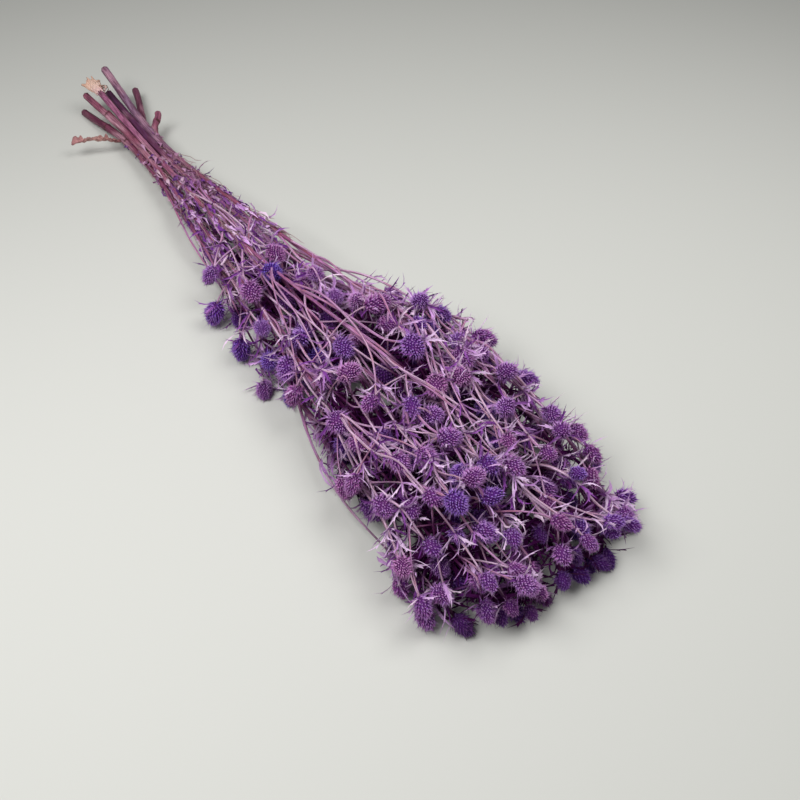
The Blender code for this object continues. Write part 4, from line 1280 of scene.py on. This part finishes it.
def whorls(pile, index, rng):
    """The leaves round one stem's forks: those of the solids, and one more at each place."""
    own = of_stem(leaves, index)
    roots, tips, faces = ([leaf[key] for leaf in own] for key in ("root", "tip", "onward"))
    for _, root, onward in (site for site in sites if site[0] == index):
        outward = leaning(onward, math.pi / 2 - rng.uniform(0.0, 0.8), rng.uniform(0, FULL_TURN))
        roots.append(root)
        tips.append(root + outward * rng.uniform(*LEAF_LENGTH) * FILLING_LEAF)
        faces.append(onward)
    blades(
        pile, roots, tips, faces, LEAF_OUTLINE, rng,
        width=(0.0005, 0.0007), arch=(-0.14, 0.28), sweep=(-0.18, 0.18), fold=(0.2, 0.9), twist=(-1.4, 1.4),
    )


dress_stems("blades", 40, dyed_blade, "bract", collar, whorls, smooth=False)

# %% [markdown]
# ## Twigs that lie over the heads
#
# From above, the bunch is a web of long thin twigs with the heads peering through. Each twig here leaves a
# stem far back, rises to lie on the heads that it crosses, and ends at the neck of a head near the top. The
# height to lie on is worked out for every point of every twig at once: the top of a ball round each head
# that the point is over.

# %% Overlying twigs
TWIG_ROWS, TWIGS_PER_STEM, TWIG_LIFT, SMOOTHINGS = 30, 12, 0.0008, 10
TWIG_SHARE = np.linspace(0, 1, TWIG_ROWS)
TWIG_RADII = np.interp(TWIG_SHARE, [0, 0.1, 0.6, 1], [0.0010, 0.0008, 0.0007, 0.0005])
TWIG_REACH = (0.03, 0.13)  # how far behind its head a twig leaves its stem
CROWN_SHARE, NEAR_TOP = 0.8, 0.002  # on top: no other head, shrunk to this share, rises so far above it


def top_of_heads(points, radii):
    """The height of the heads' tops at each point, centre + sqrt(r^2 - d^2), or 0 where there is no head."""
    off = np.linalg.norm(points[..., None, :2] - head_centres[:, :2], axis=-1)
    under = np.maximum(radii**2 - off**2, 0)
    return np.where(under > 0, head_centres[:, 2] + np.sqrt(under), 0.0).max(axis=-1)


on_top = top_of_heads(head_centres, head_radii * CROWN_SHARE) - head_centres[:, 2] - head_radii < NEAR_TOP
print(f"{on_top.sum()} heads lie on top")


def overlying_twigs(index, rng):
    """Paths from a stem to the necks of its own heads near the top of the bunch."""
    line = spline(STEMS[index][0], STEM_ROWS)
    chosen = rng.permutation([k for k, head in enumerate(heads) if head["stem"] == index and on_top[k]])
    end, axis = (np.array([heads[k][key] for k in chosen[:TWIGS_PER_STEM]]) for key in ("neck", "axis"))
    back = rng.uniform(*TWIG_REACH, len(end))
    start = line[nearest_rows(line, end[:, 0] - back)]
    leave = rows_to_unit(np.array([1.0, 0.0, 0.4]) + rng.normal(0, 0.35, start.shape))
    paths = bowed_path(start, end, leave, rows_to_unit(axis + [0.8, 0.0, 0.0]), TWIG_ROWS)
    waves, phases = rng.uniform(4, 10, (len(end), 1, 3)), rng.uniform(0, 6, (len(end), 1, 3))
    wander = np.sin(TWIG_SHARE[:, None] * waves + phases)
    paths += WAVE_HEIGHT * np.sin(TWIG_SHARE * math.pi)[:, None] * wander
    lifted = np.maximum(paths[..., 2], top_of_heads(paths, head_radii) + TWIG_LIFT)
    for _ in range(SMOOTHINGS):
        lifted[:, 1:-1] = (lifted[:, :-2] + lifted[:, 1:-1] * 2 + lifted[:, 2:]) / 4
    paths[..., 2] += np.interp(TWIG_SHARE, [0, 0.15, 0.92, 1], [0, 1, 1, 0]) * (lifted - paths[..., 2])
    return paths


def twig_tubes(pile, index, rng):
    """One stem's overlying twigs, each of its own thickness."""
    paths = twigs[index]
    radii = TWIG_RADII * rng.uniform(0.75, 1.2, (len(paths), 1))
    tubes(pile, paths, radii, STALK_SIDES, 0.75 + 0.25 * TWIG_SHARE, rng.uniform(0, 1, len(paths)))


twigs = [overlying_twigs(i, np.random.default_rng(SEED + 60 + i)) for i in range(len(STEMS))]
dress_stems("twigs", 80, dyed_wood, "stem", twig_tubes)

# %% [markdown]
# Every twig carries a whorl of long leaves, which stand out round it as a star. They use the formula of the
# blades, because the real leaves are the same, only broader on top, where they had light.

# %% Stars of leaves on the twigs
STAR_LEAVES = 8  # as long as those of the whorls
STAR_SPAN = (0.5, 0.97)  # the part of a twig where its star may stand


def stars(pile, index, rng):
    """One whorl of long leaves on each of a stem's twigs, spread round it and leaning forwards."""
    paths = twigs[index]
    which = np.arange(len(paths))
    rows = (rng.uniform(*STAR_SPAN, len(paths)) * (TWIG_ROWS - 2)).astype(int) + 1
    root, onward = paths[which, rows], rows_to_unit(paths[which, rows] - paths[which, rows - 1])
    u, v = square_pairs(onward)
    turn = rng.uniform(0, ROUGH_TURN, (len(paths), 1)) + evenly_round(STAR_LEAVES)
    turn = turn + rng.normal(0, 0.25, turn.shape)
    outward = around(u[:, None], v[:, None], turn[..., None])
    way = rows_to_unit(outward + rng.uniform(0.1, 1.0, turn.shape)[..., None] * onward[:, None])
    roots = np.broadcast_to(root[:, None], way.shape)
    tips = (roots + way * rng.uniform(*LEAF_LENGTH, turn.shape)[..., None]).reshape(-1, 3)
    faces = np.repeat(onward, STAR_LEAVES, axis=0)
    blades(
        pile, roots.reshape(-1, 3), tips, faces, LEAF_OUTLINE, rng,
        width=(0.0006, 0.0009), arch=(-0.15, 0.35), sweep=(-0.25, 0.25), fold=(0.2, 0.9), twist=(-1.3, 1.3),
    )


dress_stems("stars", 100, dyed_blade, "bract", stars, smooth=False)

# %% [markdown]
# ## Undergrowth
#
# Hardly any table can be seen through the bunch: old leaves, dark with dye, fill it between the stalks. They
# grow from the side branches and the stalks, and their tips are kept inside the outline and below its back.
# A few narrow leaves also stand round the stalk of every head.

# %% Hardly any table can be seen through the bunch: old leaves fill it between the stalks, dark with the painted
# shade of the bunch's inside. They grow from the side branches and the stalks, and their tips are kept inside
# the outline and below its back.
UNDERGROWTH, LEAF_FLOOR, INSIDE_EDGE, INSIDE_END = 280, 0.002, 0.006, 0.650
ROOTS_BELOW, TIPS_BELOW = 0.55, 0.40  # shares of the back's height
ROUTE_POINTS, ROOTED = 12, slice(2, 11)  # points along a branch or stalk, and those that bear leaves
UNDERGROWTH_LENGTH = (0.010, 0.026)
STALK_LEAVES, STALK_LEAF_LENGTH, LOWEST_BACK = 3, (0.008, 0.014), 0.010
STRIP_OUTLINE = np.array([
    (0.0, 0.8, 0.0), (0.2, 1.2, 0.0), (0.4, 0.8, 0.0), (0.6, 1.3, 0.0), (0.8, 0.6, 0.0), (1.0, 0.15, 0.0),
])


def stalk_leaves(pile, index, rng):
    """A few narrow leaves round the stalk of every head of one stem, reaching forwards."""
    own = of_stem(heads, index)
    low, high = (np.repeat([head["line"][k] for head in own], STALK_LEAVES, axis=0) for k in (-2, -1))
    onward = rows_to_unit(high - low)
    u, v = square_pairs(onward)
    turn = rng.uniform(0, FULL_TURN, (len(low), 1))
    way = rows_to_unit(around(u, v, turn) + onward * rng.uniform(0.2, 1.2, turn.shape))
    roots = low + (high - low) * rng.uniform(0.3, 0.8, turn.shape)
    tips = roots + way * rng.uniform(*STALK_LEAF_LENGTH, turn.shape)
    tips[:, 2] = np.clip(tips[:, 2], LEAF_FLOOR, np.maximum(back_height(tips.T), LOWEST_BACK))
    blades(
        pile, roots, tips, onward, STRIP_OUTLINE, rng,
        width=(0.0004, 0.0008), arch=(-0.15, 0.35), sweep=(-0.25, 0.25), fold=(0.2, 0.8), twist=(-1.0, 1.0),
    )


def undergrowth(pile, index, rng):
    """Long, flat-lying leaves deep inside the bunch, from one stem's side branches and stalks."""
    routes = [spline(fork["route"], ROUTE_POINTS) for fork in of_stem(forks, index) if fork["side"]]
    routes += [np.linspace(*head["line"][-2:], ROUTE_POINTS) for head in of_stem(heads, index)]
    spots = np.array(routes)[:, ROOTED].reshape(-1, 3)
    spots = spots[spots[:, 2] < ROOTS_BELOW * back_height(spots.T)]
    roots = spots[rng.integers(0, len(spots), UNDERGROWTH)]
    way = rows_to_unit(rng.normal(0, 1, roots.shape) * [1.0, 1.0, 0.3] + [0.5, 0.0, -0.3])
    tips = roots + way * rng.uniform(*UNDERGROWTH_LENGTH, (UNDERGROWTH, 1))
    left, right = read_off(tips[:, 0], LEFT_EDGE, RIGHT_EDGE)
    tips[:, 1] = np.clip(tips[:, 1], left + INSIDE_EDGE, right - INSIDE_EDGE)
    tips[:, 0] = np.minimum(tips[:, 0], INSIDE_END)
    tips[:, 2] = np.clip(tips[:, 2], LEAF_FLOOR, TIPS_BELOW * back_height(tips.T))
    faces = rng.normal(0, 0.5, roots.shape) + [0.0, 0.0, 1.0]
    blades(
        pile, roots, tips, faces, STRIP_OUTLINE, rng,
        width=(0.0005, 0.0011), arch=(-0.1, 0.2), sweep=(-0.2, 0.2), fold=(0.0, 0.5), twist=(-0.8, 0.8),
    )


for i in range(len(STEMS)):
    pile = Pile()
    undergrowth(pile, i, np.random.default_rng(SEED + 140 + i))
    stalk_leaves(pile, i, np.random.default_rng(SEED + 180 + i))
    dress_stem(i, "undergrowth", pile, dyed_blade, smooth=False)

# %% [markdown]
# ## Crumpled leaves on the lower stems
#
# Below the flowers the stems kept the rags of their leaves: small crumpled blades pressed forward along the
# wood, and thin shreds that lie across it. They thicken towards the flowers, so their places follow a power
# of an even draw.

# %% Rags and shreds
RAG_FROM, RAG_SPAN, LINE_POINTS = 0.120, 0.220, 400
RAGS, RAG_POWER, RAG_LENGTH = 84, 0.45, (0.006, 0.016)
BARK, LOWEST_RAG = 0.0016, 0.001  # how far off the stem's line rags start, and how low their tips may lie
TUFTS, TUFT_LEAVES, TUFT_LENGTH, TUFT_SPREAD = 3, 12, (0.003, 0.0055), 0.0012
SHREDS, SHRED_POWER, SHRED_ROWS, SHRED_POINTS = 44, 0.7, 11, (10, 36)  # they span so many points of the line
SHRED_ASIDE, SHRED_RISE, SHRED_WAVE, SHRED_RADIUS = 0.003, 0.004, 0.0013, (0.00018, 0.00042)


def rags(pile, index, rng):
    """Crumpled blades pressed along one stem, and a few tufts of them where leaves once grew."""
    line = spline(STEMS[index][0], LINE_POINTS)
    x = RAG_FROM + RAG_SPAN * rng.uniform(0, 1, RAGS) ** RAG_POWER
    rows = nearest_rows(line, x)
    onward = rows_to_unit(line[rows + 1] - line[rows])
    u, v = square_pairs(onward)
    turn = rng.uniform(0, FULL_TURN, (RAGS, 1))
    outward = around(u, v, turn)
    roots = line[rows] + outward * BARK
    way = rows_to_unit(onward + outward * rng.uniform(-0.1, 0.25, (RAGS, 1)))
    tips = roots + way * rng.uniform(*RAG_LENGTH, (RAGS, 1))
    tips[:, 2] = np.maximum(tips[:, 2], LOWEST_RAG)
    blades(
        pile, roots, tips, outward, STRIP_OUTLINE, rng,
        width=(0.0006, 0.0014), arch=(-0.15, 0.2), sweep=(-0.2, 0.2), fold=(0.2, 1.0), twist=(-1.6, 1.6),
    )
    tufts = np.repeat(rng.uniform(RAG_FROM + 0.01, RAG_FROM + RAG_SPAN * 0.7, TUFTS), TUFT_LEAVES)
    centres = line[nearest_rows(line, tufts)]
    roots = centres + rng.normal(0, TUFT_SPREAD, centres.shape)
    way = rows_to_unit(rng.normal(0, 1, centres.shape) + [0.4, 0.0, 0.6])
    tips = roots + way * rng.uniform(*TUFT_LENGTH, (len(roots), 1))
    tips[:, 2] = np.maximum(tips[:, 2], LOWEST_RAG)
    blades(
        pile, roots, tips, way[:, [1, 2, 0]], STRIP_OUTLINE, rng,
        width=(0.0006, 0.0013), arch=(-0.4, 0.4), sweep=(-0.4, 0.4), fold=(0.3, 1.4), twist=(-3.0, 3.0),
    )


def shreds(pile, index, rng):
    """Thin wavy strips that leave one stem and lie over its neighbours."""
    line = spline(STEMS[index][0], LINE_POINTS)
    x = RAG_FROM + RAG_SPAN * rng.uniform(0, 1, SHREDS) ** SHRED_POWER
    rows = nearest_rows(line, x)
    start = line[rows]
    sideways, upwards = rng.normal(0, SHRED_ASIDE, (SHREDS, 1)), rng.uniform(0, SHRED_RISE, (SHREDS, 1))
    aside = sideways * [0.0, 1.0, 0.0] + upwards * [0.0, 0.0, 1.0]
    end = line[np.minimum(rows + rng.integers(*SHRED_POINTS, SHREDS), LINE_POINTS - 1)] + aside
    share = np.linspace(0, 1, SHRED_ROWS)
    leave, arrive = [1.0, 0.0, 0.3] + rng.normal(0, 0.25, (2, SHREDS, 3))
    paths = bowed_path(start, end, leave, arrive, SHRED_ROWS)
    paths += SHRED_WAVE * np.sin(share[:, None] * rng.uniform(4, 14, (SHREDS, 1, 3))) * share[:, None]
    radii = rng.uniform(*SHRED_RADIUS, (SHREDS, 1)) * np.interp(share, [0, 0.1, 0.9, 1], [1, 1, 0.8, 0.3])
    tubes(pile, paths, radii, 3, 0.62, rng.uniform(0, 1, SHREDS))


for i in range(len(STEMS)):
    rag_pile, shred_pile, rag_rng = Pile(), Pile(), np.random.default_rng(SEED + 120 + i)
    rags(rag_pile, i, rag_rng)
    shreds(shred_pile, i, rag_rng)
    dress_stem(i, "rags", rag_pile, dyed_blade, smooth=False)
    dress_stem(i, "shreds", shred_pile, dyed_wood)

# %% [markdown]
# ## The two withered leaves
#
# A tan, papery leaf clasps one cut end, and a red-brown one stands out sideways, curled like a shaving. Each
# is a surface over two parameters, from side to side and from root to tip, with crumples as sums of sines. A
# shell gives it a thickness: the surface pushed out and in by half of it, and closed round its rim.

# %% Shells
def shell(pile, middle, thickness):
    """Adds a closed shell over a (rows, columns) surface, with the leaf's own u and v as its guides."""
    along = np.gradient(middle, axis=0)
    normal = rows_to_unit(np.cross(np.gradient(middle, axis=1), along))
    upper, lower = middle + normal * thickness / 2, middle - normal * thickness / 2
    rings = np.concatenate([upper, lower[:, ::-1]], axis=1)[None]
    shape = rings.shape[:3]
    rows, columns = middle.shape[:2]
    quads = ring_faces(shape)[0]
    k = np.arange(columns - 1)
    first = np.stack([k + 1, k, 2 * columns - 1 - k, 2 * columns - 2 - k], axis=-1)
    last = first[:, ::-1] + (rows - 1) * 2 * columns
    v = np.linspace(0, 1, rows)[:, None]
    u = np.linspace(-1, 1, columns)
    across = np.concatenate([u, u[::-1]])
    tone = guides(shape, v, 0.5, abs(across))
    grain = guides(shape, v * 3, across * 2, 0.0)
    pile.add(rings, [quads, first, last], tone, grain)


def withered_finish(name, *tints):
    """A dry leaf's material, from the tints of its root, its middle, its tip and its veins."""
    root_colour, leaf_colour, tip_colour, vein_colour = (screen(*tint) for tint in tints)
    # the vein colour also serves as the painted shade colour deep in the bunch
    leaf = Finish(name, roughness=0.72, deep=vein_colour)
    blotches = leaf.grain.noise(3.2, 4.0, 0.65)
    stops = (0.0, root_colour), (0.5, leaf_colour), (1.0, tip_colour)
    colour = (leaf.along + (blotches - 0.5) * 1.8).ramp(*stops)
    veins = leaf.grain.stretched(1.2, 7.0, 1.0).noise(2.2, 3.0)
    colour = (veins.between(0.52, 0.7) * 0.6).mix(colour, vein_colour)
    colour = (leaf.mark.between(0.75, 1.0) * 0.45).mix(colour, vein_colour)
    return leaf.connect(colour, veins + blotches * 0.8, 0.0006)


# %% The tan leaf on a cut end
LEAF_THICKNESS = 0.0007  # of the withered leaves as plain solids
LEAF_GAP = 0.0003  # between a withered leaf and the stem that it touches
TAN_ROWS, TAN_COLUMNS, WITHERED_THICKNESS = 30, 46, 0.00035
TAN_CLASP, TAN_LENGTH = math.radians(105), 0.020  # how far round the stem it reaches each way, and its length
TAN_STRIPS, STRIP_OFF = 4, 0.0032  # papery strips that arch off it, and how far off the stem they start
line, radius = stems[2], STEMS[2][1]
v, u = np.meshgrid(np.linspace(0, 1, TAN_ROWS), np.linspace(-1, 1, TAN_COLUMNS), indexing="ij")
along = unit(line[1] - line[0])
side, up = square_to(along)
angle = u * TAN_CLASP + 0.15 + 0.10 * np.sin(9 * v)
outward = around(up, side, angle[..., None])
flare = 0.0032 * abs(u) ** 3 * (1.1 - v) + 0.0012 * (1 - v) * (1 + np.cos(7 * u + 5 * v)) * abs(u)
crumple = 0.0005 * np.sin(17 * u + 11 * v) * np.sin(13 * v - 5 * u) + 0.0003 * np.sin(31 * u - 9 * v)
torn_root, torn_tip = 0.0022 * np.sin(9 * u + 2) + 0.0010 * np.sin(23 * u), 0.0016 * np.sin(19 * u)
ragged = torn_root * (1 - v) ** 3 + torn_tip * v**6
reach = (radius + LEAF_GAP + LEAF_THICKNESS / 2) * 1.12 + flare + np.maximum(crumple, -0.0002)
middle = line[0] + ((v - 0.55) * TAN_LENGTH + ragged)[..., None] * along + reach[..., None] * outward
tan_paper = withered_finish("tan_paper", (214, 172, 152), (238, 206, 190), (230, 190, 192), (184, 140, 116))
pile, tan_rng = Pile(), np.random.default_rng(SEED + 160)
shell(pile, middle, WITHERED_THICKNESS)
outward = rows_to_unit(tan_rng.normal(0, 0.25, (TAN_STRIPS, 3)) + [0.45, 0.75, 0.45])
starts, ends = tan_rng.uniform([[-0.001], [0.008]], [[0.003], [0.013]], (2, TAN_STRIPS))[..., None]
roots, tips = (line[0] + along * reach + outward * STRIP_OFF for reach in (starts, ends))
blades(
    pile, roots, tips, outward, STRIP_OUTLINE, tan_rng,
    width=(0.0007, 0.0013), arch=(0.3, 0.8), sweep=(-0.3, 0.3), fold=(0.1, 0.6), twist=(-0.8, 0.8),
)
make_piece("withered_leaf_tan_paper", pile, tan_paper, "withered_leaf_tan")

# %% The brown, curled leaf
BROWN_ROWS, BROWN_COLUMNS = 60, 16
ROOT_X, BROWN_TIP = 0.119, np.array([0.104, -0.069, 0.0135])
line, radii = stems[4], stem_radii(STEMS[4][1])
k = int(np.searchsorted(line[:, 0], ROOT_X)) - 1
share = (ROOT_X - line[k, 0]) / (line[k + 1, 0] - line[k, 0])
root = line[k] * (1 - share) + line[k + 1] * share - [0.0, radii[k] + LEAF_GAP + LEAF_THICKNESS / 2, 0.0]
v, u = np.meshgrid(np.linspace(0, 1, BROWN_ROWS), np.linspace(-1, 1, BROWN_COLUMNS), indexing="ij")
along = unit(BROWN_TIP - root)
side, up = square_to(along)
spoon = fading(v - 0.86, 0.12)
crinkle = 0.26 * np.sin(37 * v + 2.5 * u) + 0.18 * np.sin(61 * v - 4 * u)
half_width = (0.0021 + 0.0013 * spoon) * np.sqrt(np.clip((1.02 - v) * 14, 0, 1)) * (1 + crinkle * abs(u))
spine = root + v[..., None] * (BROWN_TIP - root) + (0.0035 * np.sin(np.pi * v))[..., None] * up
frill = 0.5 * np.sin(48 * v + 5 * u) * (1 - spoon)
curl = 0.9 * u**2 + 0.5 * u * np.sin(12 * v) + 0.2 * np.cos(21 * v) + frill
middle = spine + (half_width * u * (1 - 0.15 * u**2))[..., None] * side + (half_width * curl)[..., None] * up
brown_curl = withered_finish("brown_curl", (140, 86, 92), (206, 160, 152), (192, 136, 140), (134, 84, 84))
pile = Pile()
shell(pile, middle, WITHERED_THICKNESS)
make_piece("withered_leaf_brown_curl", pile, brown_curl, "withered_leaf_brown")

# %% [markdown]
# ## Table, light and camera
#
# The table is a plain pale sheet. Two broad soft lights from either side give the faint shadows on both
# sides of the bunch, and an even pale sky fills them.

# %% Table
HALF_TABLE = 3


def table_finish():
    """A pale, matt colour with faint clouds."""
    made = bpy.data.materials.new("pale_table")
    made.use_nodes = True
    tree = made.node_tree
    clouds = Wire(tree).node("TexCoord", out="Object").noise(1.3)
    colour = clouds.mix(screen(204, 205, 199), screen(210, 210, 205))
    tree.nodes["Principled BSDF"].inputs["Roughness"].default_value = 0.9
    tree.links.new(colour.socket, tree.nodes["Principled BSDF"].inputs["Base Color"])
    return made


floor_mesh = bpy.data.meshes.new("table_top")
corners = [(x * HALF_TABLE, y * HALF_TABLE, 0) for x, y in ((-1, -1), (1, -1), (1, 1), (-1, 1))]
floor_mesh.from_pydata(corners, [], [(0, 1, 2, 3)])
floor_mesh.materials.append(table_finish())
floor = put_in_scene("table_top", floor_mesh)


# %% Lights
def soft_light(name, place, size, power):
    """A square area light at a place, turned to the middle of the bunch."""
    lamp = bpy.data.lights.new(name, "AREA")
    lamp.size, lamp.energy = size, power
    light = put_in_scene(name, lamp)
    light.location = place
    x, y, z = place
    light.rotation_euler = (math.atan2(math.hypot(x, y), z), 0, math.atan2(y, x) + math.pi / 2)


soft_light("window_left", (0.11, -0.44, 0.80), 0.6, 7.0)
soft_light("window_right", (0.32, 0.34, 0.80), 0.5, 4.0)
world = bpy.data.worlds.new("studio_air")
world.use_nodes = True
sky = world.node_tree.nodes["Background"]
sky.inputs["Color"].default_value = (1.0, 1.0, 1.0, 1.0)
sky.inputs["Strength"].default_value = 0.10
bpy.context.scene.world = world

# %% Camera
CAMERA_PLACE = np.array([0.7686, -0.1813, 0.40])  # in the frame that the bunch grows in
VIEW_DOWN, VIEW_TOWARDS = math.radians(50), (-0.825, 0.565)  # how far it looks down, and towards which side
camera = put_in_scene("camera", bpy.data.cameras.new("camera"))
camera.data.sensor_width, camera.data.lens = 36.0, 36.0
camera.location = CAMERA_PLACE - CENTRE
heading = math.atan2(VIEW_TOWARDS[1], VIEW_TOWARDS[0])
camera.rotation_euler = (math.pi / 2 - VIEW_DOWN, 0.0, heading - math.pi / 2)
bpy.context.scene.camera = camera
bpy.context.scene.view_settings.view_transform = "Standard"
